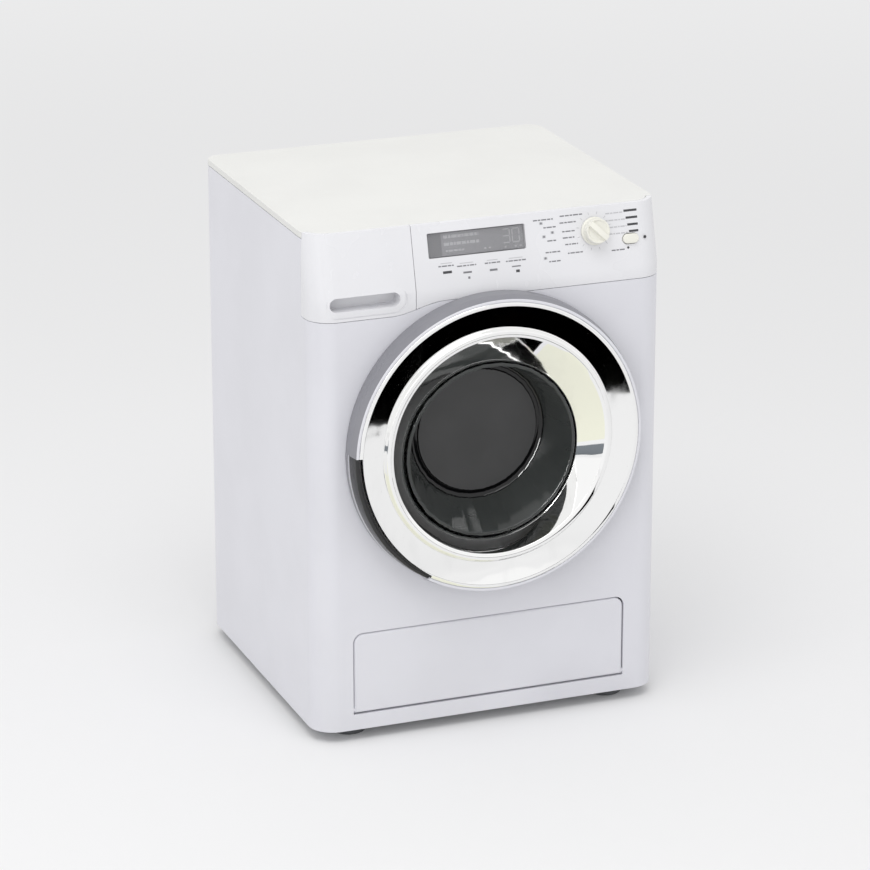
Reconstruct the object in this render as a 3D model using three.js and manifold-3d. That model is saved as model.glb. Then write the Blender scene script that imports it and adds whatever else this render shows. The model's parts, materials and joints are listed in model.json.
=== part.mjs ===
// A toy washing machine: a battery-driven front loader with a water-tight tub, a turning drum, a round
// door, a detergent drawer, a slanted control panel, a service flap and a battery bay at the back.
// Millimetres, +Z up. The origin is on the floor under the middle of the machine, and -Y is the front.

import * as THREE from "three";
import { mergeVertices } from "three/addons/utils/BufferGeometryUtils.js";
import Module from "manifold-3d";

const wasm = await Module();
wasm.setup();

// Fits that all pieces share
const gap = 0.3; // between two pieces that touch
const overrun = 5; // how far a cutter runs past what it cuts
const bite = 1; // how far two joined shapes of one piece reach into each other
const weld = 0.0003; // points nearer than this are one point

// Cabinet
const width = 185;
const height = 262;
const frontY = -77; // plane of the front wall
const rearY = 90; // plane of the rear cover
const frontCorner = 13;
const rearCorner = 8;
const wall = 2.5;
const topThickness = 3;
const topChamfer = 1;
const footHeight = 6;

// Control panel along the top of the front, leaning back
const panelRise = 31;
const panelSlant = THREE.MathUtils.degToRad(15);
const panelReturn = 17; // how far its side returns reach back round the corners
const seamLift = 1; // its lower edge lies this far above the bend of the front
const seamDrop = 12; // the drawer's lower edge lies this much lower

// Detergent drawer at the left end of the panel
const drawerWidth = 53;
const seamBefore = 12.5; // the seam starts to climb this far before the drawer's edge
const seamAfter = 15.5; // and is level again this far after it
const trayWall = 1.5;
const trayHeight = 26;
const trayFloorLift = 4; // tray floor above the drawer front's lower edge
const trayDividers = 2;
const dividerHeight = 17.3;
const housingLength = 58;
const housingMargin = 2.5; // least height of the housing over the tub
const gripLength = 36;
const gripHeight = 7;
const gripDepth = 8;
const gripInset = 8.1; // grip from the drawer's edge
const gripLift = 5; // grip above the drawer front's lower edge

// Display window
const windowHeight = 12.2;
const windowAfterDrawer = 8.2; // window from the drawer's edge
const windowBeforeDial = 36.3; // window from the dial's middle
const windowLift = 20.6; // centre above the bend
const lensThickness = 1.2;
const cardThickness = 1;
const cardMargin = 2;

// Programme dial and its rotary switch
const dialInset = 36.5; // from the cabinet's right side
const dialLift = 19.4;
const dialRadius = 7;
const dialHeight = 6;
const dialGripWidth = 2.6;
const dialGripHeight = 1.4;
const dialShaftRadius = 2.2;
const dialShaftDepth = 8;
const rotarySwitchSide = 16;

// Start button and its switch
const startInset = 17.5; // from the cabinet's right side
const startLift = 14;
const startWidth = 8.2;
const startHeight = 4.8;
const startProud = 1.4;
const startTravel = 1;
const startFlange = 1;
const startSwitchSide = 9;

// Circuit board behind the panel
const boardOffset = 14;
const boardThickness = 1.6;
const boardHeight = 17;
const boardBeforeWindow = 2.7; // board's left end from the window's
const boardInset = 8.5; // board's right end from the cabinet's side
const boardLift = 18;
const boardPostRadius = 2.5;
const boardPostDrop = 5.7; // posts below the board's middle

// Door, its ring seen from the front
const ringSideMargin = 16; // least distance from the ring to the cabinet's side
const ringFlapMargin = 17.5; // to the service flap
const ringPanelMargin = 4.5; // and to the control panel
const ringTaper = 1.3; // the front edge of the white flank is this much narrower
const ringDepth = 13; // how far it stands off the front wall
const ringRim = 1.9;
const bandWidth = 16.2; // chrome band, measured across the front
const lipWidth = 4;
const lipRise = 6.2; // lip in front of the front wall
const lipBead = 1;
const chromeThickness = 2;
const funnelWidth = 8; // from the lip to the bowl's rim
const bowlRimDrop = 7.5; // the bowl's rim is centred this much below the ring
const bowlRimDepth = 8.5; // behind the front wall
const bowlTaper = 14.5; // from the bowl's rim to its floor
const bowlFloorDrop = 1;
const bowlFloorDepth = 20;
const bowlWall = 1.8;
const bowlRimReach = 3.6; // bowl's rim in front of the funnel's end
const funnelWall = 1.6;
const ringSeat = 10.5; // width of the ring's seat on the front wall

// Finger grip, a dark crescent in the left flank of the ring
const crescentStart = THREE.MathUtils.degToRad(178);
const crescentEnd = THREE.MathUtils.degToRad(240);
const crescentAim = THREE.MathUtils.degToRad(206);
const crescentWidth = 5;
const crescentShift = 8;
const gripLining = 10; // from the ring's outside to the inside of the grip's lining
const gripBackWall = 3.8; // door back left behind the grip

// Door hinge at the right
const hingeInset = 2.5; // from the ring's outside
const hingeForward = 5.2; // pin in front of the front wall
const knuckleRadius = 2.6;
const pinRadius = 1.1;
const earLength = 12;
const hingeLength = 28;
const notchDepth = 3.5; // from the pin to the notch's edge
const notchFront = 2.4; // flank left whole in front of the hinge

// Door latch at the left
const latchInset = 7; // from the ring's outside
const latchWidth = 2.4;
const latchHeight = 8;
const latchReach = 7;
const catchWall = 1.6;

// Tub and drum
const tubMargin = 2.5; // tub wider than the door's ring
const tubWall = 2;
const tubFront = 9; // behind the front wall
const tubRearY = 44;
const tubNeck = 5.5;
const sealWidth = 6; // seal between the front wall's opening and the tub's mouth
const sealLip = 2; // seal's lip inside the tub's mouth
const sealLipThickness = 2.5;
const drumSpace = 10; // drum inside the tub, from outside to outside
const drumWall = 1.6;
const drumFrontSpace = 3; // from the tub's front wall to the drum's
const drumRearY = 34;
const drumMouthInset = 0.5; // inside the seal's lip
const hubRadius = 8;
const hubLength = 6;
const shaftRadius = 3;
const shaftClearance = 0.25;
const shaftEndY = 56;
const bushRadius = 7;
const bushFlange = 9;
const bushFlangeThickness = 1.6;
const lifters = 3;
const lifterHeight = 10;
const lifterBase = 16;
const lifterCrest = 4;
const lifterTop = 2;
const lifterShoulder = 1.3; // slope between the crest's width and the top's
const lifterInset = 4; // from the drum's end walls

// Drum gear, motor and pinion
const toothModule = 1.5;
const gearTeeth = 40;
const pinionTeeth = 10;
const gearY = 48;
const gearThickness = 5;
const meshSlack = 0.25;
const meshAngle = THREE.MathUtils.degToRad(225);
const toothTipShare = 0.2; // of the pitch angle
const toothRootShare = 0.44;
const tipHeightShare = 0.85; // of the module
const rootDepthShare = 1.15;
const motorRadius = 12;
const motorLength = 27;
const motorShaftRadius = 1.2;
const motorShaftDepth = 6;
const motorNoseRadius = 2.4;
const motorTailRadius = 4;
const mountGap = 1.5; // gear to motor plate
const mountThickness = 2;
const mountCollar = 6;
const mountCollarWall = 4;
const mountInnerRadius = 12;
const mountHalfAngle = THREE.MathUtils.degToRad(33);
const postRadius = 3;
const postMargin = 1.25; // posts outside the motor's collar

// Water: chute from the drawer to the tub, spout from the tub to the back
const chuteMargin = 0.65; // chute's bore from the drawer housing's wall
const chuteY = -30;
const chuteBore = 5.5;
const chuteWall = 1.8;
const drainBore = 4;
const drainInset = 9; // drain's middle from the outside of the tub
const drainMargin = 2.75; // drain's pocket from the battery door
const drainWall = 2;
const drainPocketRadius = 11;
const drainPocketDepth = 5.5;
const plugHeadRadius = 8;
const plugHeadThickness = 2.4;
const plugStemLength = 10;
const plugTabWidth = 8;

// Service flap low on the front
const flapInset = 20; // from the cabinet's sides
const flapLowZ = 15;
const flapHighZ = 57;
const flapCorner = 5;
const flapThickness = 3;
const flapGap = 0.5;
const flapSill = 0.8;
const flapPinRadius = 1.2;
const flapPinReach = 1.6;
const recessDepth = 7;
const recessWall = 2;

// Base tray and feet
const trayPlate = 3;
const saddleThickness = 3;
const saddleInset = 19; // from the tub's outside
const saddleHighShare = 0.5; // of the tub's radius, below its middle
const saddleFrontY = -42;
const saddleRearY = 26;
const footSideInset = 22.5;
const footInset = 17; // from the front and the back
const footRadius = 9;
const footPegRadius = 4;

// Rear cover and its screws
const coverThickness = 3.5;
const coverLip = 5;
const coverLipDepth = 4;
const screwInset = 8.5; // from the cabinet's sides
const screwLowZ = 28;
const screwDrop = 15; // upper screws below the top plate
const screwShank = 1.5;
const screwHead = 3;
const screwHeadThickness = 1.6;
const screwLength = 14;
const bossRadius = 5;
const bossLength = 20;
const driverSlot = 0.8;

// Battery bay
const cells = 3;
const cellRadius = 7.1;
const cellLength = 50.5;
const cellSpace = 15.3; // from one cell's axis to the next
const cellButton = 1;
const cellButtonRadius = 2.4;
const bayWall = 1.5;
const bayLowZ = 14;
const contactThickness = 0.6;
const contactWidth = 7.1;
const bayScrewRise = 6; // screw above the bay
const bayDoorMargin = 5.5; // door past the screw
const bayDoorFoot = 2.75; // door past the bay's foot

// Speaker and power switch behind the rear cover
const speakerX = -40;
const speakerDrop = 54; // speaker and switch below the top plate
const speakerRadius = 18;
const speakerDepth = 13;
const basketDepth = 6.5;
const coneDepth = 4.3;
const speakerFlange = 2;
const magnetRadius = 8;
const grilleSlots = 5;
const grilleSlot = 2.4;
const grillePitch = 6;
const powerX = 42;
const powerTravel = 5;
const powerKnob = 5;
const powerKnobHeight = 4.4;
const powerBodyDepth = 8;
const powerChannelDepth = 4;
const powerEndMargin = 4;
const powerEdgeMargin = 2;

// Smoothness
const largeSteps = 48;
const mediumSteps = 24;
const smallSteps = 12;
const cornerSteps = 5;
const seamSteps = 8;

// Sizes that follow from the ones above: cabinet and panel
const halfWidth = width / 2;
const bendZ = height - panelRise;
const panelZ = bendZ + seamLift;
const drawerLowZ = panelZ - seamDrop;
const panelBackY = frontY + panelReturn;
const topUnderZ = height - topThickness;
const coverY = rearY - coverThickness;
const screwX = halfWidth - screwInset;
const screwHighZ = topUnderZ - screwDrop;
const footX = halfWidth - footSideInset;
const flapWidth = width - 2 * flapInset;
const drawerEdgeX = -halfWidth + drawerWidth;
const seamStartX = drawerEdgeX - seamBefore;
const seamEndX = drawerEdgeX + seamAfter;
const gripEndX = drawerEdgeX - gripInset;
const dialX = halfWidth - dialInset;
const startX = halfWidth - startInset;
const windowLeftX = drawerEdgeX + windowAfterDrawer;
const windowRightX = dialX - windowBeforeDial;
const windowWidth = windowRightX - windowLeftX;
const windowX = (windowLeftX + windowRightX) / 2;
const boardLeftX = windowLeftX - boardBeforeWindow;
const boardRightX = halfWidth - boardInset;

// Drawer housing, inside the cabinet's left side and behind the drawer front
const housingLeft = -halfWidth + wall + gap;
const housingRight = drawerEdgeX - wall / 2;
const housingLowZ = drawerLowZ + wall / 2;
const housingFrontY = panelBackY + 2 * gap;
const housingBackY = housingFrontY + housingLength;
const chuteX = housingRight - trayWall - chuteBore - chuteMargin;

// Door: the largest ring that fits between the sides and between the flap and the panel, its tub
// clear of the drawer's housing
const ringLowZ = flapHighZ + ringFlapMargin;
const ringHighZ = panelZ - ringPanelMargin;
const ringRadius = Math.min(halfWidth - ringSideMargin, (ringHighZ - ringLowZ) / 2);
const tubRadius = ringRadius + tubMargin;
const housingClear = Math.sqrt(tubRadius ** 2 - housingRight ** 2) + housingMargin;
const doorZ = Math.min(ringHighZ - ringRadius, housingLowZ - housingClear);
const ringFrontRadius = ringRadius - ringTaper;
const ringFrontY = frontY - ringDepth;
const lipOuterRadius = ringFrontRadius - bandWidth;
const lipRadius = lipOuterRadius - lipWidth;
const bowlRimRadius = lipRadius - funnelWidth;
const bowlFloorRadius = bowlRimRadius - bowlTaper;
const doorOpeningRadius = ringRadius - ringSeat;
const hingeX = ringRadius - hingeInset;
const hingeY = frontY - hingeForward;
const latchX = latchInset - ringRadius;

// Tub, drum and drive
const tubMouthRadius = doorOpeningRadius - sealWidth;
const sealLipRadius = tubMouthRadius - sealLip;
const drumRadius = tubRadius - drumSpace;
const drumMouthRadius = sealLipRadius - drumMouthInset;
const drumFrontY = frontY + tubFront + tubWall + drumFrontSpace;
const saddleHalfWidth = tubRadius - saddleInset;
const centreDistance = (toothModule * (gearTeeth + pinionTeeth)) / 2 + meshSlack;
const motorX = centreDistance * Math.cos(meshAngle);
const motorZ = doorZ + centreDistance * Math.sin(meshAngle);
const mountY = gearY + gearThickness + mountGap;
const postReach = centreDistance + motorRadius + mountCollarWall + postMargin + postRadius;
const mountOuterRadius = postReach + postRadius;

// Battery bay, and the drain beside it
const bayHalf = (cells * cellSpace) / 2 + bayWall;
const bayHighZ = bayLowZ + cellLength + 2 * (bayWall + contactThickness + 2 * gap);
const bayScrewZ = bayHighZ + bayScrewRise;
const bayDoorLow = bayLowZ - bayDoorFoot;
const bayDoorHigh = bayScrewZ + bayDoorMargin;
const bayDoorHalf = bayHalf + bayWall;
const drainX = bayDoorHalf + gap + drainMargin + drainPocketRadius + drainWall;
const drainZ = doorZ - Math.sqrt((tubRadius - drainInset) ** 2 - drainX ** 2);
const drainSeatY = rearY - drainPocketDepth;
const speakerZ = topUnderZ - speakerDrop;
const powerZ = speakerZ;

// Turn a three.js geometry into a solid, its faces pointing out.
function solid(geometry) {
  const bare = geometry.index ? geometry.toNonIndexed() : geometry.clone();
  bare.deleteAttribute("normal");
  bare.deleteAttribute("uv");
  const merged = mergeVertices(bare, weld);
  return new wasm.Manifold(
    new wasm.Mesh({
      numProp: 3,
      vertProperties: merged.attributes.position.array,
      triVerts: new Uint32Array(merged.index.array),
    }),
  );
}

function box(x0, x1, y0, y1, z0, z1) {
  const shape = new THREE.BoxGeometry(x1 - x0, y1 - y0, z1 - z0);
  return solid(shape.translate((x0 + x1) / 2, (y0 + y1) / 2, (z0 + z1) / 2));
}

// Signed area of an outline of [a, b] points; positive when it runs anticlockwise.
function signedArea(outline) {
  return outline.reduce((sum, [a, b], i) => {
    const [c, d] = outline[(i + 1) % outline.length];
    return sum + (a * d - b * c) / 2;
  }, 0);
}

// Ring or plug turned about a line along Y through (x, z); the profile holds [radius, y] points.
function turned(profile, x, z, steps) {
  const ordered = signedArea(profile) < 0 ? [...profile].reverse() : profile;
  const closed = [...ordered, ordered[0]].map(([r, y]) => new THREE.Vector2(r, y));
  const open = closed.filter((p) => p.x === 0).length === 0;
  const spun = new THREE.LatheGeometry(open ? closed : fromAxis(ordered), steps);
  return solid(spun.translate(x, 0, z));
}

// The profile of a plug, started and ended on the axis.
function fromAxis(profile) {
  const count = profile.length;
  const start = profile.findIndex(([r], i) => r === 0 && profile[(i + 1) % count][0] !== 0);
  return profile.map((_, i) => new THREE.Vector2(...profile[(start + i) % count]));
}

// A rod along Y, or a plain disc when it is short.
function rodY(x, z, radius, y0, y1, steps = smallSteps) {
  const rod = new THREE.CylinderGeometry(radius, radius, y1 - y0, steps);
  return solid(rod.translate(x, (y0 + y1) / 2, z));
}

function rodZ(x, y, radius, z0, z1, steps = smallSteps) {
  const rod = new THREE.CylinderGeometry(radius, radius, z1 - z0, steps);
  return solid(rod.rotateX(Math.PI / 2).translate(x, y, (z0 + z1) / 2));
}

function rodX(y, z, radius, x0, x1, steps = smallSteps) {
  const rod = new THREE.CylinderGeometry(radius, radius, x1 - x0, steps);
  return solid(rod.rotateZ(Math.PI / 2).translate((x0 + x1) / 2, y, z));
}

// A plate whose outline of [x, z] points is seen from the front, from y0 back to y1.
function plateY(outline, y0, y1) {
  const shape = new THREE.Shape(outline.map(([x, z]) => new THREE.Vector2(x, z)));
  const plate = new THREE.ExtrudeGeometry(shape, { depth: y1 - y0, bevelEnabled: false });
  return solid(plate.rotateX(Math.PI / 2).translate(0, y1, 0));
}

// A quarter of a circle about (a, b) as [a, b] points.
function roundCorner(a, b, radius, quarter) {
  return Array.from({ length: cornerSteps + 1 }, (_, i) => {
    const turn = (Math.PI / 2) * (quarter + i / cornerSteps);
    return [a + radius * Math.cos(turn), b + radius * Math.sin(turn)];
  });
}

// Outline of a rectangle with round corners, as [a, b] points.
function roundedOutline(a0, a1, b0, b1, radius) {
  return [
    ...roundCorner(a1 - radius, b1 - radius, radius, 0),
    ...roundCorner(a0 + radius, b1 - radius, radius, 1),
    ...roundCorner(a0 + radius, b0 + radius, radius, 2),
    ...roundCorner(a1 - radius, b0 + radius, radius, 3),
  ];
}

// Outline of a panel with round upper corners and square lower ones.
function archedOutline(a0, a1, b0, b1, radius) {
  return [
    ...roundCorner(a1 - radius, b1 - radius, radius, 0),
    ...roundCorner(a0 + radius, b1 - radius, radius, 1),
    [a0, b0],
    [a1, b0],
  ];
}

// A solid through rings of points, each ring convex and with as many points as the others.
function loft(rings) {
  const count = rings[0].length;
  const faces = [];
  const addFace = (...points) => faces.push(...points.flatMap((p) => p.toArray()));
  rings.slice(1).forEach((upper, level) => {
    const lower = rings[level];
    for (let i = 0; i < count; i++) {
      const next = (i + 1) % count;
      addFace(lower[i], lower[next], upper[next]);
      addFace(lower[i], upper[next], upper[i]);
    }
  });
  const first = rings[0];
  const last = rings[rings.length - 1];
  for (let i = 1; i < count - 1; i++) {
    addFace(first[0], first[i + 1], first[i]);
    addFace(last[0], last[i], last[i + 1]);
  }
  const shape = new THREE.BufferGeometry();
  shape.setAttribute("position", new THREE.Float32BufferAttribute(faces, 3));
  return solid(shape);
}

// A straight or leaning cone between two circles that face along Y: [x, z, radius, y], rear one first.
function coneY(rear, front, steps = largeSteps) {
  const ring = ([x, z, radius, y]) =>
    Array.from({ length: steps }, (_, i) => {
      const turn = (2 * Math.PI * i) / steps;
      return new THREE.Vector3(x + radius * Math.cos(turn), y, z + radius * Math.sin(turn));
    });
  return loft([rear, front].map(ring));
}

// Where the front lies at a height: upright, then leaning back above the bend.
function frontAt(z) {
  return frontY + Math.max(0, z - bendZ) * Math.tan(panelSlant);
}

// The cabinet's plan at a height, drawn in from the outside by an inset.
function planRing(inset, z) {
  const front = frontAt(z) + inset;
  const rear = rearY - inset;
  const side = halfWidth - inset;
  const corners = [
    [side, rear, rearCorner - inset, 0],
    [-side, rear, rearCorner - inset, 1],
    [-side, front, frontCorner - inset, 2],
    [side, front, frontCorner - inset, 3],
  ];
  return corners.flatMap(([x, y, radius, quarter]) => {
    const r = Math.max(radius, wall / 2);
    const points = roundCorner(x - Math.sign(x) * r, quarter < 2 ? y - r : y + r, r, quarter);
    return points.map(([a, b]) => new THREE.Vector3(a, b, z));
  });
}

// The cabinet as a block between two heights.
function block(inset, z0, z1, chamfer = 0) {
  const heights = [z0, bendZ, z1 - chamfer].filter((z, i) => i !== 1 || (z > z0 && z < z1 - chamfer));
  const rings = heights.map((z) => planRing(inset, z));
  if (chamfer > 0) rings.push(planRing(inset + chamfer, z1));
  return loft(rings);
}

function halfSpaceFront(y) {
  return box(-width, width, frontY - width, y, -height, 2 * height);
}

function halfSpaceRear(y) {
  return box(-width, width, y, rearY + width, -height, 2 * height);
}

// Height of the seam under the panel and the drawer front at a place across the front.
function seamAt(x) {
  const share = THREE.MathUtils.smoothstep(x, seamStartX, seamEndX);
  return drawerLowZ + (panelZ - drawerLowZ) * share;
}

// All that belongs to the panel and the drawer front, grown by a gap.
function panelZone(grow) {
  const curve = Array.from({ length: seamSteps + 1 }, (_, i) => {
    const x = seamStartX + ((seamEndX - seamStartX) * i) / seamSteps;
    return [x, seamAt(x) - grow];
  });
  const outline = [
    [-width, seamAt(-width) - grow],
    ...curve,
    [width, seamAt(width) - grow],
    [width, height + overrun],
    [-width, height + overrun],
  ];
  return plateY(outline, frontY - overrun, panelBackY + grow);
}

// Move a solid modelled at the origin, facing -Y, onto the leaning panel.
function onPanel(piece, x, lift) {
  const turn = THREE.MathUtils.radToDeg(-panelSlant);
  return piece.rotate([turn, 0, 0]).translate([x, frontAt(bendZ + lift), bendZ + lift]);
}

// The parts list: every mesh goes into one group under its own name.
const machine = new THREE.Group();
machine.name = "toy_washing_machine";

const finishes = {
  white: new THREE.MeshStandardMaterial({ color: 0xeaeaf0, roughness: 0.38, metalness: 0 }),
  panelWhite: new THREE.MeshStandardMaterial({ color: 0xf3f3f6, roughness: 0.35, metalness: 0 }),
  cream: new THREE.MeshStandardMaterial({ color: 0xecece6, roughness: 0.4, metalness: 0 }),
  lightGrey: new THREE.MeshStandardMaterial({ color: 0xb9bbc0, roughness: 0.5, metalness: 0 }),
  darkGrey: new THREE.MeshStandardMaterial({ color: 0x3a3b3f, roughness: 0.5, metalness: 0 }),
  black: new THREE.MeshStandardMaterial({ color: 0x131314, roughness: 0.4, metalness: 0 }),
  smoke: new THREE.MeshStandardMaterial({ color: 0x2c2d2f, roughness: 0.1, metalness: 0 }),
  lcd: new THREE.MeshStandardMaterial({ color: 0x8f8f93, roughness: 0.3, metalness: 0 }),
  chrome: new THREE.MeshStandardMaterial({ color: 0xe4e6e8, roughness: 0.05, metalness: 1 }),
  steel: new THREE.MeshStandardMaterial({ color: 0xb4b6b9, roughness: 0.3, metalness: 1 }),
  brass: new THREE.MeshStandardMaterial({ color: 0xc9a552, roughness: 0.3, metalness: 1 }),
  rubber: new THREE.MeshStandardMaterial({ color: 0x5b5d61, roughness: 0.8, metalness: 0 }),
  green: new THREE.MeshStandardMaterial({ color: 0x2f6b45, roughness: 0.5, metalness: 0 }),
  cell: new THREE.MeshStandardMaterial({ color: 0x3f7a55, roughness: 0.35, metalness: 0.3 }),
};

function add(name, finish, piece) {
  const { numProp, vertProperties, triVerts } = piece.getMesh();
  const shape = new THREE.BufferGeometry();
  const points = new THREE.BufferAttribute(new Float32Array(vertProperties), numProp);
  shape.setAttribute("position", points);
  shape.setIndex(new THREE.BufferAttribute(new Uint32Array(triVerts), 1));
  shape.computeVertexNormals();
  const mesh = new THREE.Mesh(shape, finishes[finish]);
  mesh.name = name;
  machine.add(mesh);
}

// Front shell: front and side walls in one, with the door opening, the flap's recess and the screw bosses.
function makeFrontShell() {
  const recessX = flapWidth / 2 + flapGap;
  const recessLow = flapLowZ - flapSill;
  const recessHigh = flapHighZ + flapGap;
  const recess = (grow, y0, y1) =>
    plateY(
      archedOutline(-recessX - grow, recessX + grow, recessLow - grow, recessHigh + grow, flapCorner),
      y0,
      y1,
    );
  const flapPinZ = flapLowZ + flapThickness / 2;
  const flapPinY = frontY + flapThickness / 2;
  let shell = block(0, footHeight, topUnderZ - gap)
    .subtract(block(wall, footHeight - overrun, topUnderZ + overrun))
    .subtract(halfSpaceRear(coverY - gap))
    .subtract(panelZone(gap))
    .subtract(rodY(0, doorZ, doorOpeningRadius, frontY - overrun, frontY + overrun, largeSteps))
    .add(recess(recessWall, frontY + bite, frontY + recessDepth + recessWall))
    .subtract(recess(0, frontY - overrun, frontY + recessDepth))
    .subtract(rodX(flapPinY, flapPinZ, flapPinRadius + gap, -recessX - recessWall, recessX + recessWall));
  for (const side of [-1, 1])
    for (const z of [screwLowZ, screwHighZ]) {
      shell = shell.add(screwBoss(side, z)).subtract(screwHole(side * screwX, z));
    }
  const slotHalf = latchWidth / 2 + flapGap;
  const slotReach = latchHeight / 2 + flapGap;
  shell = shell.subtract(
    box(
      latchX - slotHalf,
      latchX + slotHalf,
      frontY - overrun,
      frontY + overrun,
      doorZ - slotReach,
      doorZ + slotReach,
    ),
  );
  const ear = rodZ(hingeX, hingeY, knuckleRadius, doorZ - earLength / 2, doorZ + earLength / 2).add(
    box(
      hingeX - knuckleRadius,
      hingeX + knuckleRadius / 2,
      hingeY,
      frontY + bite,
      doorZ - earLength / 2,
      doorZ + earLength / 2,
    ),
  );
  return shell
    .add(ear)
    .subtract(rodZ(hingeX, hingeY, pinRadius + gap, doorZ - hingeLength, doorZ + hingeLength));
}

// A boss on the inside of a side wall, for one screw of the rear cover.
function screwBoss(side, z) {
  const inner = side * (halfWidth - wall / 2);
  const web = box(
    Math.min(side * screwX, inner),
    Math.max(side * screwX, inner),
    coverY - gap - bossLength,
    coverY - gap,
    z - bossRadius,
    z + bossRadius,
  );
  return rodY(side * screwX, z, bossRadius, coverY - gap - bossLength, coverY - gap)
    .add(web)
    .intersect(block(wall / 2, footHeight, topUnderZ - gap));
}

function screwHole(x, z) {
  return rodY(x, z, screwShank + gap, coverY - screwLength - gap, rearY + overrun);
}

// A cross-head screw whose head sits flush in what it holds.
function makeScrew(x, z) {
  const slot = (a, b) =>
    box(x - a, x + a, rearY - screwHeadThickness / 2, rearY + overrun, z - b, z + b);
  const half = driverSlot / 2;
  const reach = screwHead - driverSlot;
  return rodY(x, z, screwHead, rearY - screwHeadThickness, rearY)
    .add(rodY(x, z, screwShank, coverY - screwLength + overrun, rearY - screwHeadThickness + bite))
    .subtract(slot(half, reach))
    .subtract(slot(reach, half));
}

function screwSeat(x, z) {
  const seatY = rearY - screwHeadThickness - gap;
  return rodY(x, z, screwHead + gap, seatY, rearY + overrun).add(screwHole(x, z));
}

// Top plate: lies on the side walls and inside the panel's top edge.
function makeTopPlate() {
  const edge = block(-bite, topUnderZ - overrun, height + overrun)
    .subtract(block(wall + gap, topUnderZ - 2 * overrun, height + 2 * overrun))
    .intersect(halfSpaceFront(panelBackY + gap));
  return block(0, topUnderZ, height, topChamfer).subtract(edge);
}

// The leaning wall that the panel and the drawer front are cut from.
function fascia() {
  return block(0, drawerLowZ - overrun, height, topChamfer)
    .subtract(block(wall, drawerLowZ - 2 * overrun, height + overrun))
    .intersect(panelZone(0));
}

function makeControlPanel() {
  const cutWindow = onPanel(
    box(-windowWidth / 2, windowWidth / 2, -overrun, overrun, -windowHeight / 2, windowHeight / 2),
    windowX,
    windowLift,
  );
  const cutDial = onPanel(rodY(0, 0, dialShaftRadius + gap, -overrun, overrun), dialX, dialLift);
  const cutStart = onPanel(startOutline(gap, -overrun, overrun), startX, startLift);
  let panel = fascia()
    .subtract(box(-width, drawerEdgeX + gap, frontY - overrun, panelBackY + overrun, 0, 2 * height))
    .subtract(cutWindow)
    .subtract(cutDial)
    .subtract(cutStart);
  for (const x of boardPosts()) {
    panel = panel.add(
      onPanel(rodY(0, 0, boardPostRadius, wall - bite, boardOffset - gap), x, boardLift - boardPostDrop),
    );
  }
  return panel;
}

// Places across the panel of the posts that carry the board.
function boardPosts() {
  const cardEndX = windowRightX + cardMargin;
  const switchStartX = dialX - rotarySwitchSide / 2;
  return [boardLeftX + 2 * boardPostRadius, (cardEndX + switchStartX) / 2];
}

// The start button's round-ended outline as a plate that faces the panel's front.
function startOutline(grow, y0, y1) {
  const a = startWidth / 2 + grow;
  const b = startHeight / 2 + grow;
  return plateY(roundedOutline(-a, a, -b, b, b - weld), y0, y1);
}

function makeDisplay() {
  const a = windowWidth / 2 - gap;
  const b = windowHeight / 2 - gap;
  const lens = onPanel(box(-a, a, gap, gap + lensThickness, -b, b), windowX, windowLift);
  const back = wall * Math.cos(panelSlant) + gap;
  const c = windowWidth / 2 + cardMargin;
  const d = windowHeight / 2 + cardMargin;
  const card = box(-c, c, back, back + cardThickness, -d, d).add(
    box(-a, a, lensThickness + 2 * gap, back + bite / 2, -b, b),
  );
  return [lens, onPanel(card, windowX, windowLift).subtract(boardPostSpaces())];
}

// Room round the board's posts.
function boardPostSpaces() {
  return boardPosts()
    .map((x) =>
      onPanel(
        rodY(0, 0, boardPostRadius + gap, 0, boardOffset + overrun),
        x,
        boardLift - boardPostDrop,
      ),
    )
    .reduce((all, one) => all.add(one));
}

// Programme dial: a knob with a raised grip bar across it, on a shaft.
function makeDial() {
  const knob = turned(
    [
      [0, -dialHeight],
      [dialRadius - gap, -dialHeight],
      [dialRadius, -dialHeight + gap],
      [dialRadius, -gap],
      [0, -gap],
    ],
    0,
    0,
    mediumSteps,
  );
  const bar = box(
    -dialGripWidth / 2,
    dialGripWidth / 2,
    -dialHeight - dialGripHeight,
    -dialHeight + bite,
    -dialRadius + gap,
    dialRadius - gap,
  ).rotate([0, THREE.MathUtils.radToDeg(-Math.PI / 4), 0]);
  const shaft = rodY(0, 0, dialShaftRadius, -bite, dialShaftDepth);
  return onPanel(knob.add(bar).add(shaft), dialX, dialLift);
}

function makeRotarySwitch() {
  const half = rotarySwitchSide / 2;
  const front = wall + gap;
  const back = boardOffset - gap;
  const body = box(-half, half, front, back, -half, half);
  const bore = rodY(0, 0, dialShaftRadius + gap, front - overrun, dialShaftDepth + gap);
  return onPanel(body.subtract(bore), dialX, dialLift);
}

function makeStartButton() {
  const behind = wall + gap;
  const cap = startOutline(0, -startProud, behind + startFlange / 2);
  const flange = startOutline(startFlange + gap, behind, behind + startFlange);
  return onPanel(cap.add(flange), startX, startLift);
}

function makeStartSwitch() {
  const half = startSwitchSide / 2;
  const front = wall + startFlange + startTravel + 3 * gap;
  const body = box(-half, half, front, boardOffset - gap, -half, half);
  return onPanel(body, startX, startLift);
}

function makeCircuitBoard() {
  const half = boardHeight / 2;
  const board = box(boardLeftX, boardRightX, boardOffset, boardOffset + boardThickness, -half, half);
  return onPanel(board, 0, boardLift);
}

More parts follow.
